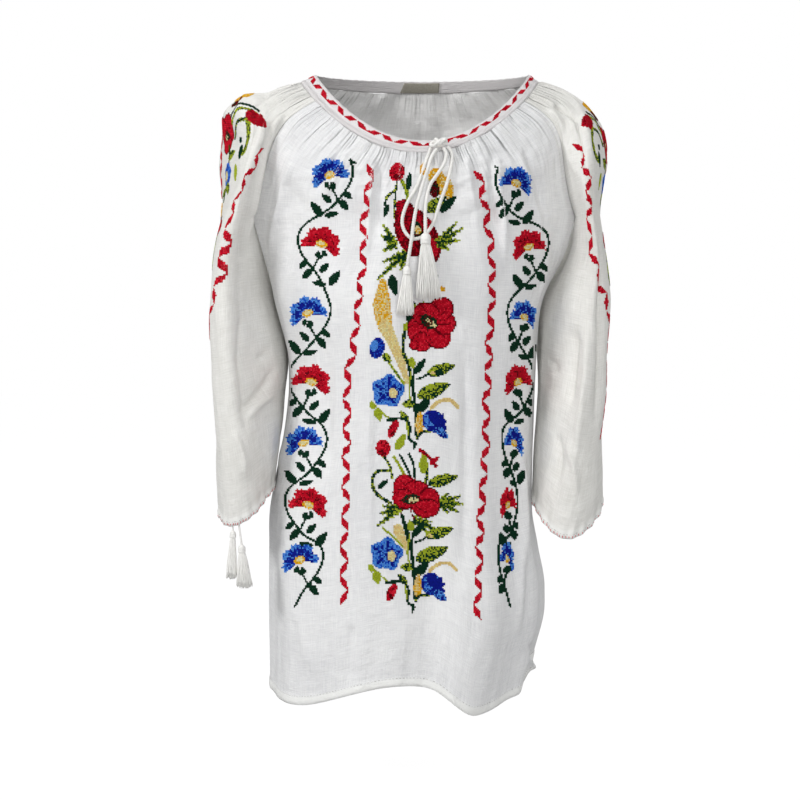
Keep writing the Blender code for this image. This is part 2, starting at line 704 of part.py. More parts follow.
def layer_depth(layer):
    """How far the middle of a cord in this layer lies off the cloth."""
    return SEAM_GAP + 0.0002 + CORD_RADIUS * (2 * layer - 1)


def cord(name, route, tree):
    """A drawcord end: a round tube that lies on the cloth or on the cord under it."""
    places = [(p.x, cloth_y(tree, p.x, p.drop) - layer_depth(p.layer), -p.drop) for p in route]
    path = through(places, CORD_POINT_SPACING)
    curve = bpy.data.curves.new(name, "CURVE")
    curve.dimensions = "3D"
    curve.bevel_depth = CORD_RADIUS
    curve.bevel_resolution = 2
    curve.use_fill_caps = True
    line = curve.splines.new("POLY")
    line.points.add(len(path) - 1)
    for point, at in zip(line.points, path):
        point.co = (*at, 1)
    return place(name, curve)


def neck_knot():
    """The tied knot, a flattened ball in front of the band's two ends."""
    shape = bmesh.new()
    bmesh.ops.create_uvsphere(shape, u_segments=12, v_segments=7, radius=1)
    bmesh.ops.transform(
        shape,
        matrix=Matrix.Translation(KNOT_CENTRE) @ Matrix.Diagonal((*KNOT_HALF, 1)),
        verts=shape.verts,
    )
    mesh = bpy.data.meshes.new("neck_knot")
    shape.to_mesh(mesh)
    shape.free()
    return place("neck_knot", mesh)


def spread(x, y):
    """A place in a square, moved to the same place in a disc."""
    return x * math.sqrt(1 - y * y / 2), y * math.sqrt(1 - x * x / 2)


def tassel(name, spec, y, stem_top=None):
    """A tied head over a skirt of separate strands, hung from a stem if `stem_top` is given."""
    shape = bmesh.new()
    bmesh.ops.create_grid(shape, x_segments=STRANDS_ACROSS, y_segments=STRANDS_ACROSS, size=1)
    for vert in shape.verts:
        vert.co.x, vert.co.y = spread(vert.co.x, vert.co.y)
    plate = list(shape.faces)
    rim = [edge for edge in shape.edges if edge.is_boundary]
    root = HEAD_PROFILE[0][1]
    for vert in shape.verts:
        vert.co *= spec.head * root
    for height, radius in HEAD_PROFILE[1:]:
        made = bmesh.ops.extrude_edge_only(shape, edges=rim)["geom"]
        rim = [item for item in made if isinstance(item, bmesh.types.BMEdge)]
        ring = [item for item in made if isinstance(item, bmesh.types.BMVert)]
        for vert in ring:
            flat = Vector((vert.co.x, vert.co.y)).normalized() * spec.head * radius
            vert.co = (flat.x, flat.y, spec.head * height)
    if stem_top is not None:
        rim = grow_stem(shape, rim, spec, stem_top)
    bmesh.ops.contextual_create(shape, geom=rim)
    bmesh.ops.inset_individual(shape, faces=plate, thickness=spec.head * root * STRAND_GAP / 2)
    centres = {face: face.calc_center_median() for face in plate}
    for share in (0.45, 1.0):
        made = bmesh.ops.extrude_discrete_faces(shape, faces=plate)["faces"]
        centres = {new: centres[old] for new, old in zip(made, plate)}
        plate = made
        for face in plate:
            hang_strand(face, centres[face], spec, share)
    bmesh.ops.recalc_face_normals(shape, faces=shape.faces)
    mid = spec.head * HEAD_PROFILE[-1][0] / 2
    bmesh.ops.translate(shape, verts=shape.verts, vec=(spec.x, y, -spec.drop - mid))
    mesh = bpy.data.meshes.new(name)
    shape.to_mesh(mesh)
    shape.free()
    return place(name, mesh)


def hang_strand(face, root, spec, share):
    """Moves a strand's end face to its place on the skirt."""
    reach = spec.head * HEAD_PROFILE[0][1]
    across = root.x / reach
    along = root.y / reach
    uneven = 1 - 0.06 * abs(math.sin(9 * across + 5 * along))
    flare = share**0.8
    target = Vector((
        root.x * (1 - flare) + across * spec.half_width * flare + spec.lean * share,
        root.y * (1 - flare) + along * spec.half_depth * flare,
        -spec.length * share * uneven,
    ))
    centre = face.calc_center_median()
    for vert in face.verts:
        vert.co = target + (vert.co - centre) * (1.0 + 0.5 * share)


def grow_stem(shape, rim, spec, stem_top):
    """The short length of cord on which a cuff tassel hangs, up to the cuff's edge."""
    top = spec.drop + stem_top + spec.head * HEAD_PROFILE[-1][0] / 2
    for share in (0.12, 1.0):
        made = bmesh.ops.extrude_edge_only(shape, edges=rim)["geom"]
        rim = [item for item in made if isinstance(item, bmesh.types.BMEdge)]
        low = spec.head * HEAD_PROFILE[-1][0]
        for vert in (item for item in made if isinstance(item, bmesh.types.BMVert)):
            flat = Vector((vert.co.x, vert.co.y)).normalized() * STEM_RADIUS
            if share == 1.0:
                flat = Vector((vert.co.x, vert.co.y)) + Vector((spec.stem_x - spec.x, 0))
            vert.co = (flat.x, flat.y, low + (top - low) * share)
    return rim


def fabric(name, colour, roughness):
    material = bpy.data.materials.new(name)
    material.use_nodes = True
    shader = material.node_tree.nodes["Principled BSDF"]
    shader.inputs["Base Color"].default_value = (*colour, 1)
    shader.inputs["Roughness"].default_value = roughness
    shader.inputs["Metallic"].default_value = 0
    return material


def main():
    for obj in list(bpy.data.objects):
        bpy.data.objects.remove(obj)
    linen = fabric("linen", (0.86, 0.87, 0.88), 0.85)
    band_linen = fabric("band_linen", (0.84, 0.80, 0.80), 0.80)
    cotton_cord = fabric("cotton_cord", (0.88, 0.87, 0.84), 0.75)
    woven_tape = fabric("woven_tape", (0.52, 0.50, 0.45), 0.65)
    front = body_panel("front", 1)
    left = sleeve("sleeve_left", -1)
    band = neckband()
    pieces = {
        linen: [front, body_panel("back", -1), left, sleeve("sleeve_right", 1)],
        band_linen: [band],
        woven_tape: [label()],
    }
    tree = cloth_tree(front, band)
    cuff = cloth_tree(left)
    cords = [
        cord("cord_left", LEFT_CORD, tree),
        cord("cord_right", RIGHT_CORD, tree),
        cord("cord_loop", BOW_LOOP, tree),
        neck_knot(),
    ]
    for number, spec in enumerate(NECK_TASSELS, 1):
        y = cloth_y(tree, spec.x, spec.drop) - layer_depth(spec.layer)
        cords.append(tassel(f"neck_tassel_{number}", spec, y))
    for number, spec in enumerate(CUFF_TASSELS, 1):
        y = cloth_y(cuff, spec.stem_x, CUFF_LEVEL) + WALL
        stem_top = -edge_drop(cuff, spec.stem_x, y) - 2 * SEAM_GAP
        cords.append(tassel(f"cuff_tassel_{number}", spec, y, stem_top))
    pieces[cotton_cord] = cords
    for material, objects in pieces.items():
        for obj in objects:
            obj.data.materials.append(material)


main()
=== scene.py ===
"""The looks of a gathered folk blouse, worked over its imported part: cloth, embroidery, cords and tassels."""

import math
import random
from collections import namedtuple

import bpy
import numpy as np
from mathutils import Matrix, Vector
from mathutils.bvhtree import BVHTree

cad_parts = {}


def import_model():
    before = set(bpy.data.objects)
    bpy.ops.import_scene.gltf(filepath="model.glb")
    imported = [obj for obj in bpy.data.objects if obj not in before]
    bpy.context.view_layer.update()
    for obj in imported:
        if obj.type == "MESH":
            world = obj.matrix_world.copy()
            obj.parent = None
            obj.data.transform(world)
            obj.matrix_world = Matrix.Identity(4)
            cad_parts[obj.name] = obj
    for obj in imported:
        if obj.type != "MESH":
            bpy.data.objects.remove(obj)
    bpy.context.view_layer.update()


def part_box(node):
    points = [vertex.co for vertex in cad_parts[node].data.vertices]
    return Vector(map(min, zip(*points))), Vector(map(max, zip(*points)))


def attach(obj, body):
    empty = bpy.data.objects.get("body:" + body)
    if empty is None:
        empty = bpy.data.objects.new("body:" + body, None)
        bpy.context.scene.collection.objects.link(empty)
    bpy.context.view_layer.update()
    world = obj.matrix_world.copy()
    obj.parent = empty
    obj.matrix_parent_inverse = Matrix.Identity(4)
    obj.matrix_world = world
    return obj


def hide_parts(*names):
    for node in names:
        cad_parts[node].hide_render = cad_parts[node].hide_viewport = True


def rows_of(kind, *values):
    """A table whose rows are all of one kind."""
    return tuple(kind(*row) for row in values)


# The photograph's frame: 800 pixels, one of them 1.163 mm wide in the plane of the shoulders
FRAME_PIXELS = 800
PIXEL = 0.001163
MIDDLE_X = 412
SHOULDER_Y = 80
CAMERA_DISTANCE = 2.7
CAMERA_RISE = math.radians(3.6)
SENSOR = 36

# Cloth
CLOTH_THICKNESS = 0.0009
BAND_THICKNESS = 0.0024
SEAM_GAP = 0.0003
SHARPEST_MITRE = 0.3
ARMPIT_EASE = 4
ARMPIT_REACH = 0.4
HEM_WIDTH = 0.009
HEM_STEP = 0.0012
HEM_EASE = 0.003
HEM_COLOUR = (0.92, 0.92, 0.89)
WEAVE_RADIANS = 10500.0

# Widths of the flat cut, which set the scale of the weave across each panel
BODY_CUT = 0.52
SLEEVE_CUT = 0.30

# Heights below the shoulders
ARMPIT_DROP = 0.160
SIDES_ROUND_DROP = 0.256
HEM_DEEPEST = 0.720

NeckRing = namedtuple("NeckRing", "centre half_width front back shoulder_z front_z back_z")
NECK_SEAM = NeckRing(0.0085, 0.1365, -0.1000, 0.0820, -0.0060, -0.0900, -0.0130)
NECK_TOP = NeckRing(0.0120, 0.1215, -0.0892, 0.0740, 0.0030, -0.0756, 0.0010)
NECK_SCOOP = 1.8
BAND_OPENING = 0.0036

# Body sections: x of both sides, y of the sides, front and back
BodySection = namedtuple("BodySection", "drop left right side_y front back")
BODY = rows_of(
    BodySection,
    (0.160, -0.1840, 0.1870, -0.030, -0.118, 0.110),
    (0.200, -0.1720, 0.1760, -0.025, -0.122, 0.112),
    (0.256, -0.1570, 0.1500, -0.015, -0.122, 0.110),
    (0.310, -0.1440, 0.1440, -0.012, -0.120, 0.107),
    (0.350, -0.1420, 0.1420, -0.010, -0.118, 0.105),
    (0.410, -0.1480, 0.1400, -0.008, -0.118, 0.105),
    (0.470, -0.1600, 0.1380, -0.004, -0.119, 0.107),
    (0.500, -0.1650, 0.1390, -0.002, -0.120, 0.108),
    (0.540, -0.1660, 0.1460, 0.000, -0.121, 0.110),
    (0.590, -0.1665, 0.1545, 0.000, -0.123, 0.112),
    (0.620, -0.1665, 0.1540, 0.000, -0.124, 0.114),
    (0.660, -0.1660, 0.1440, 0.000, -0.125, 0.115),
    (0.760, -0.1650, 0.1200, 0.000, -0.126, 0.116),
)
FRONT_POWER = 0.85
ARMPIT_CORNER = 0.85

# Sleeve sections: a tilted oval
SleeveSection = namedtuple("SleeveSection", "drop centre_x centre_y half_width half_depth tilt")
RIGHT_SLEEVE = rows_of(
    SleeveSection,
    (0.160, 0.2040, -0.012, 0.0170, 0.070, 0),
    (0.200, 0.2005, -0.012, 0.0190, 0.069, 9),
    (0.256, 0.1860, -0.014, 0.0275, 0.072, 20),
    (0.300, 0.1840, -0.018, 0.0310, 0.072, 22),
    (0.350, 0.1850, -0.024, 0.0340, 0.070, 20),
    (0.430, 0.1820, -0.032, 0.0385, 0.062, 12),
    (0.480, 0.1790, -0.037, 0.0385, 0.054, 6),
    (0.530, 0.1750, -0.041, 0.0330, 0.044, 0),
)
LEFT_SLEEVE = rows_of(
    SleeveSection,
    (0.160, 0.2030, -0.012, 0.0190, 0.072, 0),
    (0.200, 0.1965, -0.012, 0.0200, 0.072, 15),
    (0.256, 0.1905, -0.014, 0.0225, 0.076, 22),
    (0.310, 0.1873, -0.020, 0.0323, 0.078, 24),
    (0.350, 0.1885, -0.026, 0.0375, 0.076, 20),
    (0.410, 0.1903, -0.035, 0.0372, 0.068, 12),
    (0.470, 0.1915, -0.040, 0.0310, 0.056, 4),
    (0.515, 0.1930, -0.042, 0.0250, 0.044, 0),
)
ARMPIT_SKEW = -0.018

# The hem's level round the body, in degrees from the front, and the cuffs' at four places
HemPlace = namedtuple("HemPlace", "turn drop")
HEM = rows_of(
    HemPlace,
    (-180, 0.710),
    (-130, 0.712),
    (-90, 0.705),
    (-50, 0.713),
    (0, 0.686),
    (14, 0.690),
    (35, 0.720),
    (60, 0.706),
    (90, 0.675),
    (140, 0.702),
    (180, 0.710),
)
CuffEdge = namedtuple("CuffEdge", "inner front outer back")
RIGHT_CUFF = CuffEdge(0.490, 0.524, 0.487, 0.490)
LEFT_CUFF = CuffEdge(0.473, 0.506, 0.502, 0.490)

# Thread lines from the neck to the armpit's height
Strand = namedtuple("Strand", "turn lead rise length")
STRANDS = rows_of(
    Strand,
    (0, 0.022, 0.025, 0.075),
    (45, 0.060, 0.060, 0.145),
    (90, 0.076, 0.112, 0.210),
    (135, 0.070, 0.075, 0.180),
    (180, 0.040, 0.050, 0.152),
)
NECK_FLARE = 0.35
SHOULDER_FALL = 0.28
MIDDLE_FALL = 0.67
FRONT_SEAM_FALL = (0.35, 0.30, -0.89)
BACK_SEAM_FALL = (0.25, -0.45, -0.86)
SEAM_PULL = 3
FRONT_TURN = math.radians(60)
STEP = 1e-4

# The panels' grids: columns, then rows above the armpits and below them
FRONT_GRID = (196, (84, 150))
BACK_GRID = (112, (54, 92))
SLEEVE_GRID = (112, (78, 94))

# Gathers under the band, and puckers at the cuffs
FRONT_GATHERS = 34
SLEEVE_GATHERS = 17
GATHER_START = 0.005
GATHER_HEIGHT = 0.0015
GATHER_LENGTH = 0.062
PLEAT_HEIGHT = 0.0018
PLEAT_LENGTH = 0.120
CUFF_PUCKERS = 19
PUCKER_HEIGHT = 0.0012
PUCKER_LENGTH = 0.030
SEAM_CALM = 0.12
CLOSER_AT_NECK = 1.35

# A gather's ridge: its half width, how far it stands above the cloth beside it, its reach and its drift
RIDGE_HALF_WIDTH = 0.42
RIDGE_BASE = 0.35
RIDGE_REACH = 1.4
DRIFT_SHARE = 0.6
HEIGHT_AT_SEAM = 0.15

# Seeds of the gathers, pleats and ripples, and of the charts and stitches
BODY_SEEDS = (3, 13, 23)
SLEEVE_SEEDS = (33, 43, 53)
CHART_SEED = 7
STITCH_SEED = 11

# Limits between which each gather's place, height, length and sideways drift are drawn
GATHER_PLACES = (-0.32, 0.32)
GATHER_TALL = (0.45, 1.5)
GATHER_LONG = (0.4, 1.7)
GATHER_DRIFT = (-0.5, 0.5)

# Faint unevenness of the cloth: wavelengths and their heights, each of them in several directions
RIPPLES = ((0.090, 0.00075), (0.055, 0.00050), (0.034, 0.00028), (0.021, 0.00016))
RIPPLE_WAVES = 5

# Folds: place across the panel, first and last row, half width across, and height
Fold = namedtuple("Fold", "across first last half_width height")
FOLD_RISE = 0.4
FRONT_FOLDS = rows_of(
    Fold,
    (-0.15, 0.55, 1.22, 0.055, 0.0030),
    (0.36, 0.55, 1.25, 0.055, 0.0035),
    (0.10, 1.50, 2.30, 0.130, -0.0100),
    (0.36, 1.45, 2.30, 0.110, 0.0080),
    (0.70, 1.40, 2.30, 0.060, 0.0060),
    (-0.58, 1.45, 2.30, 0.130, 0.0060),
    (-0.33, 1.65, 2.30, 0.080, -0.0030),
)
BACK_FOLDS = rows_of(
    Fold,
    (-0.62, 1.30, 2.30, 0.120, 0.0070),
    (-0.22, 1.45, 2.30, 0.120, -0.0060),
    (0.18, 1.35, 2.30, 0.120, 0.0080),
    (0.58, 1.45, 2.30, 0.100, -0.0050),
    (-0.35, 0.55, 1.25, 0.060, 0.0030),
    (0.28, 0.60, 1.30, 0.060, 0.0035),
    (-0.05, 0.90, 1.70, 0.035, 0.0015),
    (0.46, 1.05, 1.90, 0.030, 0.0025),
    (0.02, 0.10, 1.30, 0.030, 0.0035),
    (0.16, 0.10, 1.60, 0.024, 0.0030),
    (-0.16, 0.10, 1.45, 0.026, 0.0030),
    (-0.42, 0.10, 1.20, 0.030, 0.0030),
    (0.38, 0.12, 1.25, 0.030, 0.0030),
    (-0.70, 0.50, 1.80, 0.040, 0.0040),
    (0.74, 0.50, 1.90, 0.040, 0.0040),
    (-0.48, 1.00, 1.75, 0.030, -0.0015),
)
RIGHT_FOLDS = rows_of(
    Fold,
    (0.20, 0.35, 0.90, 0.040, -0.0050),
    (0.30, 0.30, 0.92, 0.040, 0.0045),
    (0.27, 1.02, 1.75, 0.045, -0.0080),
    (0.37, 0.90, 1.95, 0.060, 0.0040),
    (0.18, 1.15, 1.90, 0.050, 0.0030),
    (0.72, 1.10, 1.90, 0.060, -0.0050),
    (0.60, 0.60, 1.40, 0.030, 0.0020),
    (0.83, 0.80, 1.60, 0.030, 0.0020),
    (0.48, 0.75, 1.30, 0.280, -0.0060),
    (0.46, 1.25, 1.95, 0.280, -0.0090),
)
LEFT_FOLDS = rows_of(
    Fold,
    (0.14, 0.30, 0.90, 0.040, 0.0040),
    (0.22, 0.35, 0.90, 0.035, -0.0030),
    (0.19, 0.90, 1.75, 0.050, 0.0080),
    (0.10, 1.20, 1.95, 0.050, -0.0030),
    (0.36, 1.05, 1.85, 0.060, 0.0030),
    (0.74, 1.10, 1.90, 0.060, -0.0050),
    (0.60, 0.60, 1.40, 0.030, 0.0020),
    (0.85, 0.80, 1.60, 0.030, 0.0020),
    (0.50, 0.18, 0.62, 0.260, 0.0110),
    (0.47, 0.46, 1.08, 0.280, -0.0125),
    (0.47, 1.22, 1.95, 0.280, -0.0080),
)

# Creases that show from the front, by their places in the photograph's frame
Crease = namedtuple("Crease", "width height places")
CREASE_RISE = 3.0
CREASE_SPREAD = 1.25
FRONT_CREASES = rows_of(
    Crease,
    (3.0, 0.0022, ((374, 152), (371, 190), (368, 235), (366, 268))),
    (3.0, -0.0018, ((380, 155), (379, 200), (378, 245))),
    (3.2, 0.0020, ((497, 150), (499, 185), (503, 230), (505, 275))),
    (3.0, -0.0016, ((491, 152), (492, 190), (493, 235))),
    (2.6, 0.0016, ((352, 146), (338, 172), (322, 205))),
    (2.6, -0.0014, ((345, 143), (328, 168), (312, 196))),
    (2.6, 0.0015, ((466, 152), (470, 180), (474, 215))),
    (2.6, 0.0016, ((516, 148), (526, 175), (537, 215), (541, 262))),
    (2.4, -0.0014, ((522, 145), (534, 172), (545, 214))),
    (2.6, 0.0014, ((402, 150), (400, 172), (398, 198))),
    (4.0, 0.0018, ((300, 150), (284, 185), (274, 230), (270, 270))),
    (3.4, 0.0022, ((519, 430), (520, 500), (519, 580), (517, 660))),
    (2.4, -0.0024, ((525, 640), (533, 652), (541, 672))),
    (2.4, 0.0022, ((524, 655), (531, 668), (536, 684))),
    (5.0, -0.0012, ((330, 330), (328, 420), (331, 500), (329, 560))),
    (5.0, 0.0012, ((372, 360), (369, 440), (371, 520), (368, 600))),
    (6.0, -0.0014, ((462, 330), (466, 420), (465, 510), (462, 600))),
    (5.0, 0.0012, ((300, 600), (306, 640), (316, 680))),
    (4.0, -0.0012, ((352, 620), (350, 655), (349, 690))),
    (3.5, 0.0014, ((288, 380), (281, 430), (279, 480))),
)
LEFT_CREASES = rows_of(
    Crease,
    (2.6, 0.0030, ((286, 114), (276, 126), (262, 165), (251, 214), (247, 250))),
    (2.6, -0.0020, ((293, 118), (284, 132), (270, 170), (260, 212))),
    (2.2, -0.0022, ((282, 344), (272, 350), (257, 359))),
    (2.4, -0.0022, ((282, 352), (268, 385), (253, 401), (235, 416))),
    (2.2, 0.0018, ((276, 392), (262, 404), (246, 420))),
    (3.0, -0.0016, ((240, 300), (238, 360), (244, 400), (248, 440))),
    (2.4, 0.0016, ((232, 428), (243, 452), (247, 480))),
    (2.2, 0.0016, ((262, 92), (252, 100), (240, 122))),
    (2.2, -0.0014, ((270, 95), (262, 104), (252, 128))),
)
RIGHT_CREASES = rows_of(
    Crease,
    (2.6, 0.0026, ((525, 117), (538, 140), (552, 172), (561, 202))),
    (2.6, -0.0024, ((533, 108), (548, 126), (562, 150))),
    (2.6, 0.0026, ((545, 105), (560, 122), (572, 150), (577, 182))),
    (2.4, -0.0022, ((552, 104), (566, 112), (580, 124))),
    (3.6, -0.0028, ((576, 322), (573, 352), (570, 388), (568, 412))),
    (2.4, -0.0018, ((544, 353), (554, 363), (557, 376))),
    (2.6, 0.0018, ((588, 320), (586, 370), (580, 420), (574, 470))),
    (2.4, -0.0016, ((556, 430), (560, 460), (556, 492))),
    (2.4, 0.0016, ((566, 440), (574, 468), (578, 500))),
)

# The drawcord's route: places across and down, and how many cords deep it lies off the cloth
CORD_RADIUS = 0.0019
CordPlace = namedtuple("CordPlace", "x drop layer")
LEFT_CORD = rows_of(
    CordPlace,
    (0.0275, 0.0850, 1.9),
    (0.0221, 0.0930, 2.1),
    (0.0163, 0.1105, 2.1),
    (0.0105, 0.1279, 1.9),
    (0.0047, 0.1489, 1.9),
    (0.0012, 0.1675, 2.0),
    (-0.0012, 0.1861, 2.2),
    (-0.0040, 0.2035, 2.2),
    (-0.0060, 0.2162, 2.2),
)
RIGHT_CORD = rows_of(
    CordPlace,
    (0.0338, 0.0851, 2.6),
    (0.0375, 0.0915, 2.6),
    (0.0352, 0.1023, 2.2),
    (0.0279, 0.1140, 1.6),
    (0.0198, 0.1256, 1.3),
    (0.0151, 0.1430, 1.6),
    (0.0140, 0.1628, 2.4),
    (0.0140, 0.1803, 2.9),
)
BOW_LOOP = rows_of(
    CordPlace,
    (0.0205, 0.0838, 1.2),
    (0.0140, 0.1023, 1.0),
    (0.0047, 0.1279, 1.0),
    (-0.0070, 0.1489, 1.0),
    (-0.0116, 0.1675, 1.0),
    (-0.0070, 0.1803, 1.0),
    (0.0012, 0.1861, 1.0),
    (0.0105, 0.1838, 1.0),
    (0.0209, 0.1721, 1.0),
    (0.0302, 0.1465, 1.2),
    (0.0384, 0.1233, 1.3),
    (0.0430, 0.1047, 1.4),
    (0.0442, 0.0954, 1.2),
    (0.0418, 0.0872, 1.2),
    (0.0382, 0.0833, 1.6),
)
CORD_STEP = 0.0011
PLY_COUNT = 3
PLY_POINTS = 5
PLY_DEPTH = 0.20
TWIST_PITCH = 0.0085
CORD_CLEARANCE = 0.0005
CORD_FULLNESS = 1.14
KNOT_CENTRE = (0.0291, -0.1040, -0.0790)
KNOT_HALF_SIZE = (0.0105, 0.0042, 0.0048)
KNOT_FULLNESS = 1.05
KNOT_TURNS = 3.5

# Tassels: head centre, head radius, then the skirt's length and half sizes
Tassel = namedtuple("Tassel", "x drop layer head length half_width half_depth lean stem_x")
NECK_TASSELS = rows_of(
    Tassel,
    (-0.0062, 0.2208, 2.2, 0.0044, 0.052, 0.0100, 0.0048, -0.002, None),
    (0.0142, 0.1858, 2.9, 0.0056, 0.070, 0.0145, 0.0060, 0.004, None),
)
CUFF_TASSELS = rows_of(
    Tassel,
    (-0.2028, 0.5190, 1.0, 0.0034, 0.052, 0.0062, 0.0055, -0.002, -0.2028),
    (-0.1925, 0.5350, 1.0, 0.0040, 0.046, 0.0092, 0.0060, 0.003, -0.1958),
)
STRAND_RADIUS = 0.00055
TASSEL_STRANDS = 110
GOLDEN_ANGLE = 2.39996
HEAD_PROFILE = (
    (-0.95, 0.60),
    (-0.70, 0.86),
    (-0.35, 0.98),
    (0.10, 1.0),
    (0.50, 0.94),
    (0.85, 0.72),
    (1.10, 0.40),
)
STRAND_TAPER = (1.15, 1.15, 1.15, 1.15, 1.15, 1.15, 1.15, 1.05, 0.7)
SKIRT_TOP = 0.62
SKIRT_TUCK = 0.3
BINDING_GIRTH = 0.90
BINDING_TURNS = 3.5
STEM_RADIUS = 0.0012

LABEL_LEFT = -0.0085
LABEL_RIGHT = 0.0330
LABEL_THICKNESS = 0.0010
LABEL_COLUMNS = 24

# Embroidery: stitches are 1.4 pixels of the photograph, or 1.6 mm
STITCH = 1.4
ARM_HALF_WIDTH = 0.00046
LOW_ARM = 0.00040
HIGH_ARM = 0.00066
ARM_SINK = 0.00010
FOOT_RISE = 0.00010
ARM_END = 0.04
ARM_RISE = 0.27
# Painted shade: the foot of every arm of thread is darkened to this share of its colour, for the shade where
# it dips into the cloth
FOOT_PAINTED_SHADE = 0.45
THREAD_SHADES = (0.80, 1.35)
LONGEST_STITCH = 4.5 * STITCH * PIXEL
CLOTH_REACH = 0.02
BAND_STITCH_ROWS = 8

Thread = namedtuple("Thread", "name colour")
THREADS = rows_of(
    Thread,
    ("crimson", (0.62, 0.004, 0.022)),
    ("deep_crimson", (0.17, 0.001, 0.006)),
    ("bright_red", (0.88, 0.022, 0.050)),
    ("dark_blue", (0.006, 0.014, 0.32)),
    ("blue", (0.014, 0.100, 0.66)),
    ("light_blue", (0.100, 0.340, 0.92)),
    ("dark_green", (0.004, 0.040, 0.018)),
    ("green", (0.085, 0.180, 0.010)),
    ("light_green", (0.46, 0.55, 0.035)),
    ("straw", (1.00, 0.50, 0.015)),
    ("pale_straw", (1.00, 0.72, 0.30)),
    ("cream", (1.00, 0.85, 0.44)),
    ("white", (0.86, 0.85, 0.82)),
)
SHADE = {thread.name: number for number, thread in enumerate(THREADS)}
BARE = -1


def smooth(xs, ys, at):
    """A smooth curve through the points (xs, ys), level where they turn back."""
    xs = np.asarray(xs, float)
    ys = np.asarray(ys, float)
    at = np.clip(at, xs[0], xs[-1])
    steps = np.diff(ys) / np.diff(xs)
    slopes = np.concatenate([steps[:1], (steps[:-1] + steps[1:]) / 2, steps[-1:]])
    slopes[1:-1][steps[:-1] * steps[1:] <= 0] = 0
    i = np.clip(np.searchsorted(xs, at, side="right") - 1, 0, len(xs) - 2)
    width = xs[i + 1] - xs[i]
    s = (at - xs[i]) / width
    start = (1 + 2 * s) * (1 - s) ** 2 * ys[i] + s * (1 - s) ** 2 * width * slopes[i]
    end = s * s * (3 - 2 * s) * ys[i + 1] + s * s * (s - 1) * width * slopes[i + 1]
    return start + end


def read(table, key, name, at):
    """The smooth value of column `name` where column `key` is `at`."""
    return smooth([getattr(row, key) for row in table], [getattr(row, name) for row in table], at)


def ramp(x):
    """0 below 0, 1 above 1, and a soft rise between."""
    x = np.clip(x, 0, 1)
    return x * x * (3 - 2 * x)


def unit(v):
    return v / np.linalg.norm(v, axis=-1, keepdims=True)


def join(x, y, z):
    return np.stack(np.broadcast_arrays(x, y, z), axis=-1)


def travelled(path):
    """The length of a path up to each of its points."""
    return np.concatenate([[0], np.linalg.norm(np.diff(path, axis=0), axis=1).cumsum()])


def resampled(path, at):
    """Points of a smooth curve through those of a path, at lengths along it."""
    length = travelled(path)
    return np.stack([smooth(length, path[:, axis], at) for axis in range(path.shape[1])], axis=1)


def camera_axes():
    """Where the camera stands, and its forward, right and up directions."""
    forward = np.array([0, math.cos(CAMERA_RISE), -math.sin(CAMERA_RISE)])
    up = np.array([0, math.sin(CAMERA_RISE), math.cos(CAMERA_RISE)])
    half = FRAME_PIXELS / 2
    looked_at = np.array([(half - MIDDLE_X) * PIXEL, 0, (SHOULDER_Y - half) * PIXEL])
    return looked_at - forward * CAMERA_DISTANCE, forward, np.array([1.0, 0, 0]), up


def pixel_of(points):
    """Where points of the blouse appear in the photograph's frame."""
    place, forward, right, up = camera_axes()
    offset = points - place
    scale = CAMERA_DISTANCE / (offset @ forward) / PIXEL
    return FRAME_PIXELS / 2 + offset @ right * scale, FRAME_PIXELS / 2 - offset @ up * scale


def seen_on(tree, px, py):
    """The point and normal of the cloth that shows at a place in the photograph's frame."""
    place, forward, right, up = camera_axes()
    half = FRAME_PIXELS / 2
    ray = forward * CAMERA_DISTANCE + right * (px - half) * PIXEL + up * (half - py) * PIXEL
    point, normal = tree.ray_cast(Vector(place), Vector(ray).normalized())[:2]
    return point, normal


def make_camera():
    place, forward, _, _ = camera_axes()
    bpy.ops.object.camera_add(location=place)
    camera = bpy.context.object
    camera.name = "camera"
    camera.rotation_mode = "QUATERNION"
    camera.rotation_quaternion = Vector(forward).to_track_quat("-Z", "Y")
    camera.data.sensor_width = SENSOR
    camera.data.lens = SENSOR * CAMERA_DISTANCE / (FRAME_PIXELS * PIXEL)
    camera.data.clip_start = 0.05
    bpy.context.scene.camera = camera


# Shapes of the panels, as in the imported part


def neck_point(ring, turn):
    """A point of a neck ring. Turn 0 is the centre front, and a quarter turn the right shoulder."""
    across = np.sin(turn)
    along = np.cos(turn)
    y = np.where(along > 0, ring.front, -ring.back) * along
    fall = np.where(along > 0, ring.front_z, ring.back_z) - ring.shoulder_z
    power = np.where(along > 0, NECK_SCOOP, 2.0)
    z = ring.shoulder_z + fall * np.abs(along) ** power
    return join(ring.centre + ring.half_width * across, y, z)


def body_point(turn, drop):
    """A point of the body below the armpits. Turn 0 is the front, and a quarter turn the right side."""
    across = np.sin(turn)
    along = np.cos(turn)
    left, right, side_y, front, back = (read(BODY, "drop", name, drop) for name in BodySection._fields[1:])
    corner = ARMPIT_CORNER * (1 - ramp((drop - ARMPIT_DROP) / (SIDES_ROUND_DROP - ARMPIT_DROP)))
    straight = 2 / np.pi * np.arcsin(np.clip(across, -1, 1))
    power = FRONT_POWER + (1 - FRONT_POWER) * across**2
    depth = np.where(along > 0, front, back) - side_y
    x = (left + right) / 2 + (right - left) / 2 * ((1 - corner) * across + corner * straight)
    return join(x, side_y + depth * np.abs(along) ** power, -drop)


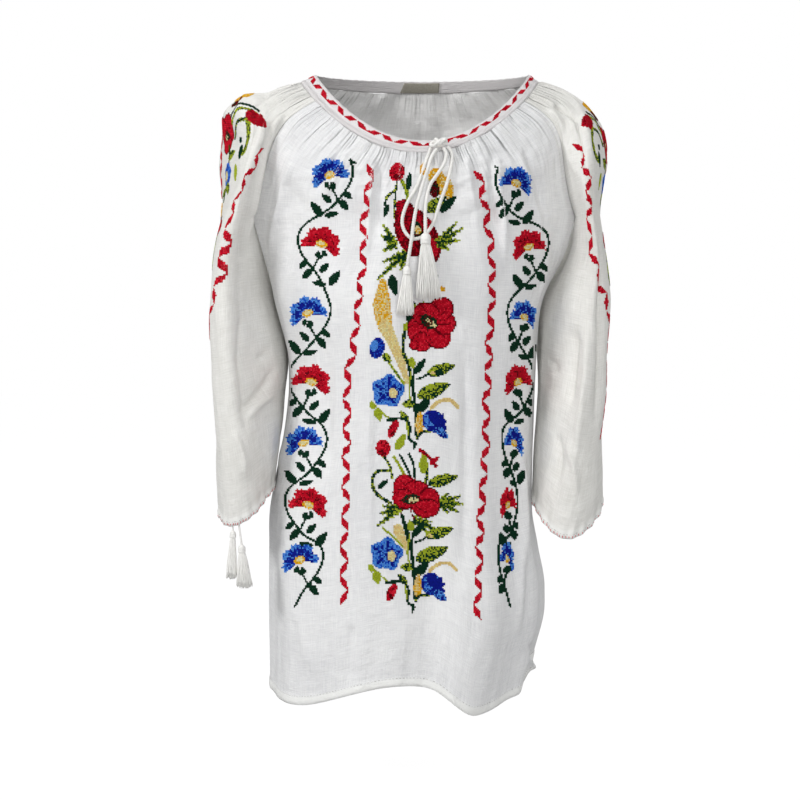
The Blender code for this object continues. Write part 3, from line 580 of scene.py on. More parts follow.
def sleeve_point(side, around, drop):
    """A point of a sleeve. Around is 0 at the armpit side, 0.25 in front and 0.5 at the outside."""
    table = RIGHT_SLEEVE if side > 0 else LEFT_SLEEVE
    centre_x, centre_y, half_width, half_depth, tilt = (
        read(table, "drop", name, drop) for name in SleeveSection._fields[1:]
    )
    inner = np.cos(2 * np.pi * around)
    forward = np.sin(2 * np.pi * around)
    tilt = np.radians(tilt)
    skew = ARMPIT_SKEW * (1 - ramp((drop - ARMPIT_DROP) / (SIDES_ROUND_DROP - ARMPIT_DROP)))
    away = -half_width * inner * np.cos(tilt) + half_depth * forward * np.sin(tilt)
    back = -half_width * inner * np.sin(tilt) - half_depth * forward * np.cos(tilt)
    return join(side * (centre_x + away), centre_y + back + skew * (1 + inner) / 2, -drop)


def hem_drop(turn):
    return read(HEM, "turn", "drop", (np.degrees(turn) + 180) % 360 - 180)


def cuff_drop(side, around):
    cuff = RIGHT_CUFF if side > 0 else LEFT_CUFF
    angle = 2 * np.pi * around
    tip = (cuff.inner - cuff.outer) / 2 * np.cos(angle) + (cuff.front - cuff.back) / 2 * np.sin(angle)
    bow = (cuff.inner + cuff.outer - cuff.front - cuff.back) / 4 * np.cos(2 * angle)
    return sum(cuff) / 4 + tip + bow


def leaving(turn):
    """The direction in which the cloth leaves the neck seam."""
    along = np.cos(turn)
    return unit(join(np.sin(turn), -NECK_FLARE * along, -(SHOULDER_FALL + MIDDLE_FALL * along**2)))


def strand(turn, share, end, fall):
    """A point of the thread line that leaves the neck seam at `turn` and reaches `end` along `fall`."""
    degrees = np.degrees(np.arccos(np.clip(np.cos(turn), -1, 1)))
    start = neck_point(NECK_SEAM, turn)
    second = start + read(STRANDS, "turn", "lead", degrees)[..., None] * leaving(turn)
    third = end - read(STRANDS, "turn", "rise", degrees)[..., None] * fall
    t = np.asarray(share)[..., None]
    return (1 - t) ** 3 * start + 3 * t * (1 - t) ** 2 * second + 3 * t * t * (1 - t) * third + t**3 * end


def fall_to_armpit(own, pull, side, facing):
    """The direction in which a thread line arrives, shared by both panels where they meet."""
    front = join(side * FRONT_SEAM_FALL[0], FRONT_SEAM_FALL[1], FRONT_SEAM_FALL[2])
    back = join(side * BACK_SEAM_FALL[0], BACK_SEAM_FALL[1], BACK_SEAM_FALL[2])
    shared = unit(np.where(np.asarray(facing)[..., None] > 0, front, back))
    pull = np.asarray(pull)[..., None]
    return unit((1 - pull) * unit(own) + pull * shared)


def body_panel_point(facing, across, row):
    """Facing 1 is the front panel and -1 the back. Across is -1 to 1, row 0 to 1 to 2."""
    across, row = np.broadcast_arrays(across, row)
    turn = across * np.pi / 2 if facing > 0 else np.pi - across * np.pi / 2
    neck_turn = across * FRONT_TURN if facing > 0 else np.pi - across * FRONT_TURN
    low = ARMPIT_DROP + (hem_drop(turn) - ARMPIT_DROP) * np.clip(row - 1, 0, 2)
    end = body_point(turn, ARMPIT_DROP)
    own = (body_point(turn, ARMPIT_DROP + STEP) - end) * join(1 - across**2, 1, 1)
    fall = fall_to_armpit(own, np.abs(across) ** SEAM_PULL, np.sign(across), facing)
    upper = strand(neck_turn, np.clip(row, 0, 1), end, fall)
    return np.where((row < 1)[..., None], upper, body_point(turn, low))


def sleeve_panel_point(side, around, row):
    """Side 1 is the viewer's right. Around is 0 to 1 from the front seam to the back seam."""
    around, row = np.broadcast_arrays(around, row)
    neck_turn = side * (FRONT_TURN + around * (np.pi - 2 * FRONT_TURN))
    low = ARMPIT_DROP + (cuff_drop(side, around) - ARMPIT_DROP) * np.clip(row - 1, 0, 2)
    end = sleeve_point(side, around, ARMPIT_DROP)
    own = sleeve_point(side, around, ARMPIT_DROP + STEP) - end
    facing = np.where(around < 0.5, 1, -1)
    fall = fall_to_armpit(own, np.abs(2 * around - 1) ** SEAM_PULL, side, facing)
    upper = strand(neck_turn, np.clip(row, 0, 1), end, fall)
    return np.where((row < 1)[..., None], upper, sleeve_point(side, around, low))


def surface_normal(point, sign, across, row, limits):
    """The outward normal of a panel, from points close by and within the panel's own edges."""
    side = point(np.clip(across + STEP, *limits), row) - point(np.clip(across - STEP, *limits), row)
    down = point(across, row + STEP) - point(across, np.maximum(row - STEP, 0))
    return unit(sign * np.cross(down, side))


def neck_normal(turn):
    """The normal shared by the band and the panels along their seam."""
    around = neck_point(NECK_SEAM, turn + STEP) - neck_point(NECK_SEAM, turn - STEP)
    band = unit(neck_point(NECK_SEAM, turn) - neck_point(NECK_TOP, turn))
    return unit(np.cross(unit(leaving(turn) + band), around))


def seam_offset(side, facing, row):
    """The mean normal of the two panels that meet at a seam, longer where they meet at an angle."""
    front = surface_normal(lambda a, v: body_panel_point(1, a, v), 1, side * 1.0, row, (-1, 1))
    back = surface_normal(lambda a, v: body_panel_point(-1, a, v), -1, side * 1.0, row, (-1, 1))
    edge = 0.0 if facing > 0 else 1.0
    armhole = surface_normal(lambda a, v: sleeve_panel_point(side, a, v), side, edge, row, (0, 1))
    body = front if facing > 0 else back
    other = np.where((row < 1)[..., None], armhole, back if facing > 0 else front)
    mean = unit(body + other)
    return mean / np.maximum((mean * body).sum(axis=-1, keepdims=True), SHARPEST_MITRE)


# The cloth's own relief


def uneven(count, seed):
    """Places, heights, lengths and drifts of a row of gathers, each a little different."""
    draw = np.random.default_rng(seed)
    places = (np.arange(count) + 0.5 + draw.uniform(*GATHER_PLACES, count)) / count
    return places, *(draw.uniform(*limits, count) for limits in (GATHER_TALL, GATHER_LONG, GATHER_DRIFT))


def gathers(share, distance, count, height, length, seed):
    """Uneven ridges under the band, at a share across of a panel that holds `count` of them."""
    lift = np.zeros(np.broadcast(share, distance).shape)
    for place, tall, long, drift in zip(*uneven(count, seed)):
        off = (share - place) * count - drift * distance / length * DRIFT_SHARE
        ridge = np.exp(-((off / RIDGE_HALF_WIDTH) ** 2)) - RIDGE_BASE
        lift += height * tall * ridge * (np.abs(off) < RIDGE_REACH) * (1 - ramp(distance / (length * long)))
    return lift * (HEIGHT_AT_SEAM + (1 - HEIGHT_AT_SEAM) * ramp(distance / GATHER_START))


def folds(table, across, row):
    """Lift of a panel's folds, each a long soft ridge or trough."""
    lift = np.zeros(np.broadcast(across, row).shape)
    for fold in table:
        rise = (fold.last - fold.first) * FOLD_RISE
        along = ramp((row - fold.first) / rise) * ramp((fold.last - row) / rise)
        lift = lift + fold.height * along * np.exp(-(((across - fold.across) / fold.half_width) ** 2))
    return lift


def ripple(u, v, seed):
    """Faint unevenness of washed linen, from waves of many directions. u and v are in metres."""
    draw = np.random.default_rng(seed)
    lift = np.zeros(np.broadcast(u, v).shape)
    for wavelength, height in RIPPLES:
        for _ in range(RIPPLE_WAVES):
            angle = draw.uniform(0, np.pi)
            phase = draw.uniform(0, 2 * np.pi)
            turned = u * math.cos(angle) + v * math.sin(angle) * 0.45
            bent = 0.35 * np.sin(2 * np.pi * (v * 0.7 - u) / (wavelength * 2.7) + phase)
            lift += height * 0.55 * np.sin(2 * np.pi * turned / wavelength + phase + bent)
    return lift


def to_polyline(x, y, places):
    """Distance to a line through places, and the share of the way along it."""
    nearest = np.full(x.shape, np.inf)
    share = np.zeros(x.shape)
    count = len(places) - 1
    for number, ((ax, ay), (bx, by)) in enumerate(zip(places, places[1:])):
        dx, dy = bx - ax, by - ay
        t = np.clip(((x - ax) * dx + (y - ay) * dy) / (dx * dx + dy * dy), 0, 1)
        distance = np.hypot(x - ax - t * dx, y - ay - t * dy)
        closer = distance < nearest
        nearest = np.where(closer, distance, nearest)
        share = np.where(closer, (number + t) / count, share)
    return nearest, share


def creases(table, points):
    """Lift of the creases that show from the front, on the half of the cloth that faces it."""
    x, y = pixel_of(points)
    lift = np.zeros(x.shape)
    for crease in table:
        distance, share = to_polyline(x, y, crease.places)
        ends = ramp(share / 0.25) * ramp((1 - share) / 0.3)
        off = distance / (crease.width * CREASE_SPREAD)
        lift += CREASE_RISE * crease.height * ends / (1 + off**2) ** 1.5
    return lift


def body_relief(facing, across, row, points):
    neck_turn = across * FRONT_TURN if facing > 0 else np.pi - across * FRONT_TURN
    degrees = np.degrees(np.arccos(np.clip(np.cos(neck_turn), -1, 1)))
    distance = row * read(STRANDS, "turn", "length", degrees)
    share = (across + 1) / 2
    gather_seed, pleat_seed, ripple_seed = (seed + facing for seed in BODY_SEEDS)
    lift = gathers(share, distance, FRONT_GATHERS, GATHER_HEIGHT, GATHER_LENGTH, gather_seed)
    lift += gathers(share, distance, FRONT_GATHERS // 2, PLEAT_HEIGHT, PLEAT_LENGTH, pleat_seed)
    lift += folds(FRONT_FOLDS if facing > 0 else BACK_FOLDS, across, row)
    lift += ripple(across * 0.24, row * 0.4, ripple_seed)
    if facing > 0:
        lift += creases(FRONT_CREASES, points)
    return lift * ramp((1 - np.abs(across)) / SEAM_CALM)


def sleeve_relief(side, around, row, points):
    degrees = np.degrees(FRONT_TURN + around * (np.pi - 2 * FRONT_TURN))
    distance = row * read(STRANDS, "turn", "length", degrees)
    gather_seed, pleat_seed, ripple_seed = (seed + side for seed in SLEEVE_SEEDS)
    lift = gathers(around, distance, SLEEVE_GATHERS, GATHER_HEIGHT, GATHER_LENGTH, gather_seed)
    lift += gathers(around, distance, SLEEVE_GATHERS // 2, PLEAT_HEIGHT, PLEAT_LENGTH, pleat_seed)
    lift += folds(RIGHT_FOLDS if side > 0 else LEFT_FOLDS, around, row)
    lift += ripple(np.sin(2 * np.pi * around) * 0.07, row * 0.35, ripple_seed)
    shown = creases(RIGHT_CREASES if side > 0 else LEFT_CREASES, points)
    lift += shown * ramp((0.5 - around) / 0.06)
    to_cuff = (2 - row) * (cuff_drop(side, around) - ARMPIT_DROP)
    drift = 0.35 * np.sin(2 * np.pi * 3 * around + side)
    pucker = PUCKER_HEIGHT * np.cos(2 * np.pi * CUFF_PUCKERS * around + drift)
    calm = ramp((1 - np.abs(2 * around - 1)) / SEAM_CALM)
    return lift * calm + pucker * (1 - ramp(to_cuff / PUCKER_LENGTH))


# Making meshes


def joined_mesh(name, points, faces, smooth_faces=True):
    """A mesh object from arrays, with its place in its vertices."""
    mesh = bpy.data.meshes.new(name)
    mesh.from_pydata(np.asarray(points).tolist(), [], [tuple(map(int, face)) for face in faces])
    mesh.polygons.foreach_set("use_smooth", [smooth_faces] * len(mesh.polygons))
    made = bpy.data.objects.new(name, mesh)
    bpy.context.scene.collection.objects.link(made)
    return made


UPPER = slice(None, -1)
LOWER = slice(1, None)
DOWN_FIRST = ((UPPER, UPPER), (LOWER, UPPER), (LOWER, LOWER), (UPPER, LOWER))
ACROSS_FIRST = ((UPPER, UPPER), (UPPER, LOWER), (LOWER, LOWER), (LOWER, UPPER))


def by_corner(grid, corners):
    """A grid's values at the four corners of each of its cells."""
    return np.stack([grid[corner] for corner in corners], axis=-1)


def add_map(made, u, v, corners, caps=0):
    """Gives a mesh its own map from a grid. The corners of its caps all lie at the map's origin."""
    uv = np.stack([by_corner(u, corners), by_corner(v, corners)], axis=-1).reshape(-1, 2)
    uv = np.concatenate([uv, np.zeros((caps, 2))])
    made.data.uv_layers.new(name="cloth").data.foreach_set("uv", uv.reshape(-1))


def select_only(made):
    bpy.ops.object.select_all(action="DESELECT")
    made.select_set(True)
    bpy.context.view_layer.objects.active = made


def apply_modifier(made, kind, **settings):
    select_only(made)
    modifier = made.modifiers.new(kind.lower(), kind)
    for name, value in settings.items():
        setattr(modifier, name, value)
    bpy.ops.object.modifier_apply(modifier=modifier.name)


def tree_of(*pieces):
    """A search tree over finished pieces, to lay stitches and cords on them."""
    points = []
    faces = []
    for piece in pieces:
        start = len(points)
        points += [vertex.co.copy() for vertex in piece.data.vertices]
        faces += [tuple(start + i for i in polygon.vertices) for polygon in piece.data.polygons]
    return BVHTree.FromPolygons(points, faces)


def panel_rows(counts):
    """Rows from the neck to the armpit as 0 to 1, closer at the neck, then on to the edge as 1 to 2."""
    upper_count, lower_count = counts
    upper = np.linspace(0, 1, upper_count, endpoint=False) ** CLOSER_AT_NECK
    return np.concatenate([upper, 1 + np.linspace(0, 1, lower_count)])


def cloth_panel(name, point, normal, offsets, relief, levels, columns, edged, hem, cloth_width, joined):
    """A panel of thin cloth from a grid of points, which steps outwards at its hem."""
    place = np.broadcast_to(columns, (len(levels), len(columns)))
    down = np.broadcast_to(levels[:, None], place.shape)
    base = point(place, down)
    out = normal(place, down)
    out[0] = offsets["neck"](columns)
    edge_rows = edged(levels)
    armpit = 1 - ramp(np.abs(levels - 1) / ARMPIT_REACH)
    shift = np.zeros_like(base)
    shift[0] = unit(base[1] - base[0])
    shift[edge_rows, 0] += unit(base[edge_rows, 1] - base[edge_rows, 0])
    shift[edge_rows, -1] += unit(base[edge_rows, -2] - base[edge_rows, -1])
    sides = offsets["sides"](levels[edge_rows])
    out[edge_rows, 0] = sides[0]
    out[edge_rows, -1] = sides[1]
    base = base + shift * (SEAM_GAP / 2 * (1 + ARMPIT_EASE * armpit))[:, None, None]
    lift = relief(place, down, base) + ramp((down - hem) / HEM_EASE) * HEM_STEP
    points = base + out * lift[..., None]
    in_hem = (down >= hem).astype(float)
    return grid_mesh(name, points, in_hem, (levels > 1) & joined, cloth_width)


def grid_mesh(name, points, in_hem, joined_rows, cloth_width):
    """A mesh over a grid of points. In joined rows the last column is the first one."""
    row_count, column_count = points.shape[:2]
    numbers = np.arange(row_count * column_count).reshape(row_count, column_count)
    numbers[joined_rows, -1] = numbers[joined_rows, 0]
    used, packed = np.unique(by_corner(numbers, DOWN_FIRST), return_inverse=True)
    quads = packed.reshape(-1, 4)
    made = joined_mesh(name, points.reshape(-1, 3)[used], quads)
    made.data.attributes.new("hem", "FLOAT", "POINT").data.foreach_set("value", in_hem.reshape(-1)[used])
    down = np.linalg.norm(np.diff(points, axis=0), axis=-1).mean(axis=1).cumsum()
    u, v = np.meshgrid(np.linspace(0, cloth_width, column_count), np.concatenate([[0], down]))
    add_map(made, u, v, DOWN_FIRST)
    return made


def body_panel(name, facing, columns, counts):
    """The front or back: gathered at the neck, with raglan edges and side seams."""

    def point(a, v):
        return body_panel_point(facing, a, v)

    def normal(a, v):
        return surface_normal(point, facing, a, v, (-1, 1))

    offsets = {
        "neck": lambda a: neck_normal(a * FRONT_TURN if facing > 0 else np.pi - a * FRONT_TURN),
        "sides": lambda v: (seam_offset(-1, facing, v), seam_offset(1, facing, v)),
    }
    made = cloth_panel(
        name,
        point,
        normal,
        offsets,
        lambda a, v, points: body_relief(facing, a, v, points),
        panel_rows(counts),
        np.linspace(-1, 1, columns + 1),
        lambda v: v >= 0,
        2 - HEM_WIDTH / (HEM_DEEPEST - ARMPIT_DROP),
        BODY_CUT,
        False,
    )
    return finish_cloth(made, facing)


def sleeve(name, side, columns, counts):
    """A sleeve: gathered at the neck, with raglan edges down to the armpit, and a closed tube below."""

    def point(a, v):
        return sleeve_panel_point(side, a, v)

    def normal(a, v):
        edges = surface_normal(point, side, a, v, (0, 1))
        closed = surface_normal(lambda b, w: point(b % 1, w), side, a, v, (-1, 2))
        return np.where((v > 1)[..., None], closed, edges)

    offsets = {
        "neck": lambda a: neck_normal(side * (FRONT_TURN + a * (np.pi - 2 * FRONT_TURN))),
        "sides": lambda v: (seam_offset(side, 1, v), seam_offset(side, -1, v)),
    }
    made = cloth_panel(
        name,
        point,
        normal,
        offsets,
        lambda a, v, points: sleeve_relief(side, a, v, points),
        panel_rows(counts),
        np.linspace(0, 1, columns + 1),
        lambda v: v <= 1,
        2 - HEM_WIDTH / (LEFT_CUFF.front - ARMPIT_DROP),
        SLEEVE_CUT,
        True,
    )
    return finish_cloth(made, side)


def finish_cloth(made, sign):
    """Turns the sheet's outer face outwards and gives it the thickness of linen."""
    if sign < 0:
        made.data.flip_normals()
    apply_modifier(made, "SOLIDIFY", thickness=CLOTH_THICKNESS, offset=0, use_even_offset=False)
    made.data.polygons.foreach_set("use_smooth", [True] * len(made.data.polygons))
    return made


def band_face(turn, share, layer):
    """A point of the neckband: share 0 at its upper edge, 1 at the seam, layer -1 inside to 1 outside."""
    top = neck_point(NECK_TOP, turn)
    seam = neck_point(NECK_SEAM, turn)
    edge = seam - unit(seam - top) * SEAM_GAP / 2
    return top + (edge - top) * share + neck_normal(turn) * BAND_THICKNESS / 2 * layer


# Round the band's section: share of the height, and layer. The piping is the full bead at its foot
BAND_SECTION = (
    (0.02, 0.0),
    (0.05, 0.55),
    (0.14, 0.80),
    (0.40, 0.78),
    (0.66, 0.78),
    (0.72, 0.62),
    (0.77, 1.05),
    (0.86, 1.35),
    (0.95, 1.05),
    (1.00, 0.40),
    (1.00, -0.60),
    (0.86, -0.85),
    (0.40, -0.80),
    (0.10, -0.75),
    (0.03, -0.45),
)
BAND_STEPS = 420

# The height of the band's diamonds: their middle, and the share that they take up
BAND_MIDDLE = 0.36
BAND_WORKED = 0.62


def band_start():
    """The turn at which the band's ends meet, under the knot."""
    return math.asin((KNOT_CENTRE[0] - NECK_SEAM.centre) / NECK_SEAM.half_width)


def neckband():
    """One strip round the neck, puckered by its gathers, with a corded edge at the seam."""
    gap = BAND_OPENING / 2 / NECK_TOP.half_width
    turns = np.linspace(band_start() + gap, band_start() + 2 * np.pi - gap, BAND_STEPS + 1)
    pucker = np.sin(turns * 61) + 0.6 * np.sin(turns * 97 + 1) + 0.5 * np.sin(turns * 23 + 2)
    rings = []
    for share, layer in BAND_SECTION:
        waved = layer + 0.10 * pucker * (0.3 + 0.7 * share) * np.sign(layer)
        points = band_face(turns, share, 0) + neck_normal(turns) * (waved * BAND_THICKNESS / 2)[:, None]
        points[:, 2] += 0.0002 * pucker * (1 - share)
        rings.append(points)
    return loft("neckband_cloth", np.stack(rings, axis=1))


def tube_faces(ring_count, size, start=0):
    """Faces round the rings of a tube, with a cap at each end."""
    numbers = start + np.arange(ring_count * size).reshape(ring_count, size)
    wrapped = np.concatenate([numbers, numbers[:, :1]], axis=1)
    quads = by_corner(wrapped, ACROSS_FIRST).reshape(-1, 4)
    return [tuple(quad) for quad in quads] + [tuple(numbers[0][::-1]), tuple(numbers[-1])]


def loft(name, rings):
    """A closed tube through rings of equal length, with its length and girth as its own map."""
    ring_count, size = rings.shape[:2]
    made = joined_mesh(name, rings.reshape(-1, 3), tube_faces(ring_count, size))
    u, v = np.meshgrid(np.linspace(0, 1, size + 1), travelled(rings[:, 0]))
    add_map(made, u, v, ACROSS_FIRST, 2 * size)
    outward(made)
    return made


def outward(made):
    """Turns every face of a closed mesh outwards."""
    select_only(made)
    bpy.ops.object.mode_set(mode="EDIT")
    bpy.ops.mesh.select_all(action="SELECT")
    bpy.ops.mesh.normals_make_consistent(inside=False)
    bpy.ops.object.mode_set(mode="OBJECT")


def label():
    """A blank woven label on the inner face of the band, bevelled along its upper and lower edges."""
    reach = [(x - NECK_TOP.centre) / NECK_TOP.half_width for x in (LABEL_LEFT, LABEL_RIGHT)]
    turns = np.pi - np.linspace(math.asin(reach[0]), math.asin(reach[1]), LABEL_COLUMNS + 1)
    face = -1 - 2 * SEAM_GAP / BAND_THICKNESS
    section = ((0.10, 0), (0.90, 0), (0.90, 0.55), (0.86, 0.80), (0.14, 0.80), (0.10, 0.55))
    deep = 2 * LABEL_THICKNESS / BAND_THICKNESS
    rings = np.stack([band_face(turns, share, face - deep * layer) for share, layer in section], axis=1)
    return loft("label_tape", rings)


# Embroidery charts

# A fern's fingers: half width, teeth by their radians a pixel, and the share left at each notch
FERN_HALF_WIDTH = 4.4
FERN_TEETH = 1.15
FERN_NOTCH = 0.62


class Chart:
    """A stitch chart: a grid of cells, each bare or one thread's colour. Sizes are in photo pixels."""

    def __init__(self, left, top, right, bottom):
        self.left = left
        self.top = top
        columns = round((right - left) / STITCH)
        rows = round((bottom - top) / STITCH)
        self.x, self.y = np.meshgrid(
            left + (np.arange(columns) + 0.5) * STITCH, top + (np.arange(rows) + 0.5) * STITCH
        )
        self.cells = np.full(self.x.shape, BARE)
        self.draw = np.random.default_rng(CHART_SEED)

    def paint(self, where, *names):
        """Works the cells in threads, the first one most and the others strewn in."""
        count = int(where.sum())
        picked = np.full(count, SHADE[names[0]])
        for number, name in enumerate(names[1:]):
            picked[self.draw.random(count) < 0.30 / (number + 1)] = SHADE[name]
        self.cells[where] = picked

    def turned(self, x, y, degrees, narrow=1.0):
        """Coordinates about a place, turned clockwise, with y upwards, for a motif narrowed across."""
        angle = math.radians(degrees)
        dx = (self.x - x) / narrow
        dy = y - self.y
        return dx * math.cos(angle) - dy * math.sin(angle), dx * math.sin(angle) + dy * math.cos(angle)

    def beside(self, start, end):
        """Each cell's distance along and beside the line between two places, and the line's length."""
        (ax, ay), (bx, by) = start, end
        length = math.hypot(bx - ax, by - ay)
        ux, uy = (bx - ax) / length, (by - ay) / length
        along = (self.x - ax) * ux + (self.y - ay) * uy
        return along, (self.x - ax) * uy - (self.y - ay) * ux, length

    def disc(self, x, y, across, tall, degrees, *names):
        """An oval about a place, turned clockwise."""
        u, v = self.turned(x, y, degrees)
        self.paint((u / across) ** 2 + (v / tall) ** 2 < 1, *names)

    def stem(self, places, width, *names):
        """A line of even width on a smooth curve."""
        places = smooth_line(places, 6)
        distance, _ = to_polyline(self.x, self.y, places)
        self.paint(distance < width / 2, *names)

    def leaf(self, base, tip, width, dark="dark_green", light="dark_green"):
        """A pointed leaf with a darker half. Its widest place is nearer the base."""
        along, off, length = self.beside(base, tip)
        along = along / length
        shape = np.sin(np.pi * np.clip(along, 0, 1) ** 0.8) ** 0.8 * width / 2
        inside = (along > 0) & (along < 1) & (np.abs(off) < shape + 0.4)
        self.paint(inside & (off < 0), dark, light)
        self.paint(inside & (off >= 0), light, dark)
        self.paint(inside & (np.abs(off) < 0.6) & (width > 9), dark)

    def fern(self, base, tips, dark="dark_green", light="light_green"):
        """A leaf of several toothed fingers, light at their edges."""
        for tip in tips:
            along, off, length = self.beside(base, tip)
            teeth = FERN_NOTCH + (1 - FERN_NOTCH) * (np.sin(along * FERN_TEETH + np.sign(off) * 0.8) > -0.2)
            half = FERN_HALF_WIDTH * teeth * np.clip(1.25 - along / length, 0, 1)
            inside = (along > -1) & (along < length)
            self.paint(inside & (np.abs(off) < half), light, dark)
            self.paint(inside & (np.abs(off) < half * 0.5) & (along < length * 0.8), dark, "green")

    def patch(self, places, *names):
        """Everything inside a smooth closed outline."""
        outline = smooth_line(tuple(places) + (places[0],), 4)
        inside = np.zeros(self.x.shape, bool)
        for (ax, ay), (bx, by) in zip(outline, outline[1:]):
            if ay == by:
                continue
            crossing = (ay > self.y) != (by > self.y)
            inside ^= crossing & (self.x < ax + (self.y - ay) * (bx - ax) / (by - ay))
        self.paint(inside, *names)

    def diamond(self, start, end, half_width, *names):
        """A long stitch diamond between two places."""
        along, off, length = self.beside(start, end)
        along = along / length
        inside = np.abs(off) < half_width * (1 - np.abs(2 * along - 1)) * 1.25 + 0.25
        self.paint(inside & (along > -0.04) & (along < 1.04), *names)


def smooth_line(places, per_step):
    """More places on a smooth curve through the given ones."""
    places = np.array(places, float)
    if len(places) < 3:
        return places
    return resampled(places, np.linspace(0, travelled(places)[-1], per_step * (len(places) - 1) + 1))


def carnation(chart, x, y, turn, radius, narrow, light, dark):
    """A fringed flower seen from the side, open upwards, one petal hanging lower than the other."""
    u, v = chart.turned(x, y, turn, narrow)
    angle = np.degrees(np.arctan2(u, v))
    reach = np.hypot(u, v)
    lobes = np.abs(np.cos(np.radians(angle) * CARNATION_LOBES))
    fringe = 1 + FRINGE_DEPTH * np.sign(np.sin(np.radians(angle) * FRINGE_TEETH))
    edge = radius * (0.84 + 0.18 * lobes) * (1 + 0.06 * np.abs(angle) / 100) * fringe
    fan = (reach < edge) & (np.abs(angle) < CARNATION_SPREAD)
    chart.paint(fan, *light)
    spread = np.abs(np.sin(np.radians(angle) * 2 * CARNATION_LOBES))
    chart.paint(fan & (reach < edge * 0.74) & (spread > 0.42), *dark)
    chart.paint(fan & (lobes < 0.22) & (reach > radius * 0.45), dark[0])
    chart.paint((u / 5.8) ** 2 + ((v - 1.0) / 3.9) ** 2 < 1, "straw", "cream")
    chart.paint((u / 3.6) ** 2 + ((v - 1.6) / 2.0) ** 2 < 1, "cream")


# Each colour of carnation: its radius, and the threads of its edge and of its depth
CARNATIONS = {
    "blue": (17.6, ("light_blue", "blue"), ("dark_blue", "dark_blue", "blue")),
    "red": (18.4, ("crimson", "bright_red"), ("crimson", "deep_crimson")),
}
CARNATION_LEAN = 17
CARNATION_SPREAD = 113
CARNATION_LOBES = 3.6
FRINGE_DEPTH = 0.035
FRINGE_TEETH = 26


def vine_section(chart, x, y, colour, side, narrow, last):
    """One flower of a side vine, with the leaves where its stem leaves the long one."""

    def at(across, down):
        return x + side * narrow * across, y + down

    radius, light, dark = CARNATIONS[colour]
    carnation(chart, x, y, -side * CARNATION_LEAN, radius, narrow, light, dark)
    green = "dark_green"
    chart.disc(*at(-3.4, 8.5), 2.4, 3.4, 25 * side, green)
    chart.disc(*at(3.0, 9.5), 2.6, 3.6, -25 * side, green)
    chart.disc(*at(0, 11.5), 2.2, 2.4, 0, green)
    chart.stem((at(1, 11), at(4, 16), at(9, 26)), 2.3, green)
    chart.leaf(at(14, 16), at(22, 23), 5.5)
    chart.leaf(at(10, 24), at(18, 34), 7.0)
    if last:
        return
    chart.leaf(at(1, 27), at(-8, 18), 6.0)
    chart.leaf(at(-8, 40), at(-19, 26), 7.5)
    chart.leaf(at(-5, 40), at(9, 37), 5.0)


# The side vines: each flower's place, the side its stem bends to, and its width's share of a square one
Flower = namedtuple("Flower", "x y colour side narrow")
LEFT_VINE = rows_of(
    Flower,
    (330, 176, "blue", 1, 1.0),
    (321, 245, "red", -1, 1.0),
    (308, 314, "blue", 1, 1.0),
    (311, 383, "red", -1, 1.0),
    (304, 444, "blue", 1, 1.0),
    (308, 506, "red", -1, 1.0),
    (300, 561, "blue", 1, 1.0),
)
RIGHT_VINE = rows_of(
    Flower,
    (516, 184, "blue", -1, 0.90),
    (529, 248, "red", 1, 0.85),
    (524, 318, "blue", -1, 0.72),
    (518, 383, "red", 1, 0.70),
    (514, 444, "blue", -1, 0.52),
    (508, 506, "red", 1, 0.42),
    (507, 560, "blue", -1, 0.38),
)
LEFT_VINE_ENDS = ((355, 163), (295, 606))
RIGHT_VINE_ENDS = ((495, 167), (510, 606))
STEM_BY_FLOWER = ((20, -16), (23, -5), (20, 7), (13, 18), (4, 29))


def vine(chart, flowers, start, end):
    """A side vine: one long winding stem, its flowers, and their leaves."""
    places = [start]
    for flower in flowers:
        sway = flower.side * flower.narrow
        places += [(flower.x + sway * across, flower.y + down) for across, down in STEM_BY_FLOWER]
    places = [place for place in places if place[1] < end[1] - 4] + [end]
    chart.stem(places, 2.5, "dark_green")
    for flower in flowers:
        vine_section(chart, *flower, flower is flowers[-1])


# Charts of the front: left, top, right and bottom edges. Then the zigzags' places on it
LEFT_VINE_AREA = (270, 140, 374, 640)
RIGHT_VINE_AREA = (472, 140, 570, 640)
BOUQUET_AREA = (364, 150, 476, 640)
LEFT_ZIGZAG = (
    (371, 164), (367, 201), (363, 229), (364, 255), (360, 285), (356, 326), (352, 355),
    (347, 380), (347, 433), (346, 459), (346, 511), (344, 535), (344, 605),
)
RIGHT_ZIGZAG = (
    (477, 169), (484, 199), (488, 227), (492, 261), (492, 292), (489, 346), (488, 378),
    (486, 404), (486, 436), (483, 484), (481, 512), (479, 563), (477, 620),
)
LEFT_SLEEVE_ZIGZAG = ((262, 146), (250, 175), (240, 191), (232, 202), (227, 235), (222, 270), (215, 298))
RIGHT_SLEEVE_ZIGZAG = ((576, 142), (582, 160), (590, 190), (588, 240))

# A sleeve's chart: its edges, where its bunches start, and how its chains turn away behind the sleeve
SLEEVE_CHART = (-98, 20, 98, 380)
BUNCH_TOPS = (50, 168)
CHAIN_TURNS_AWAY = ((14, 32), (30, 62))
CHAIN_END_AWAY = 34
CHAIN_END_DOWN = 372
SHORTEST_STEP = 4
COLUMN_DISTANCE = 53

# Diamonds, in pixels of the photograph
DIAMOND_PITCH = 14.6
DIAMOND_SWAY = 4.0
DIAMOND_HALF_WIDTH = 2.5


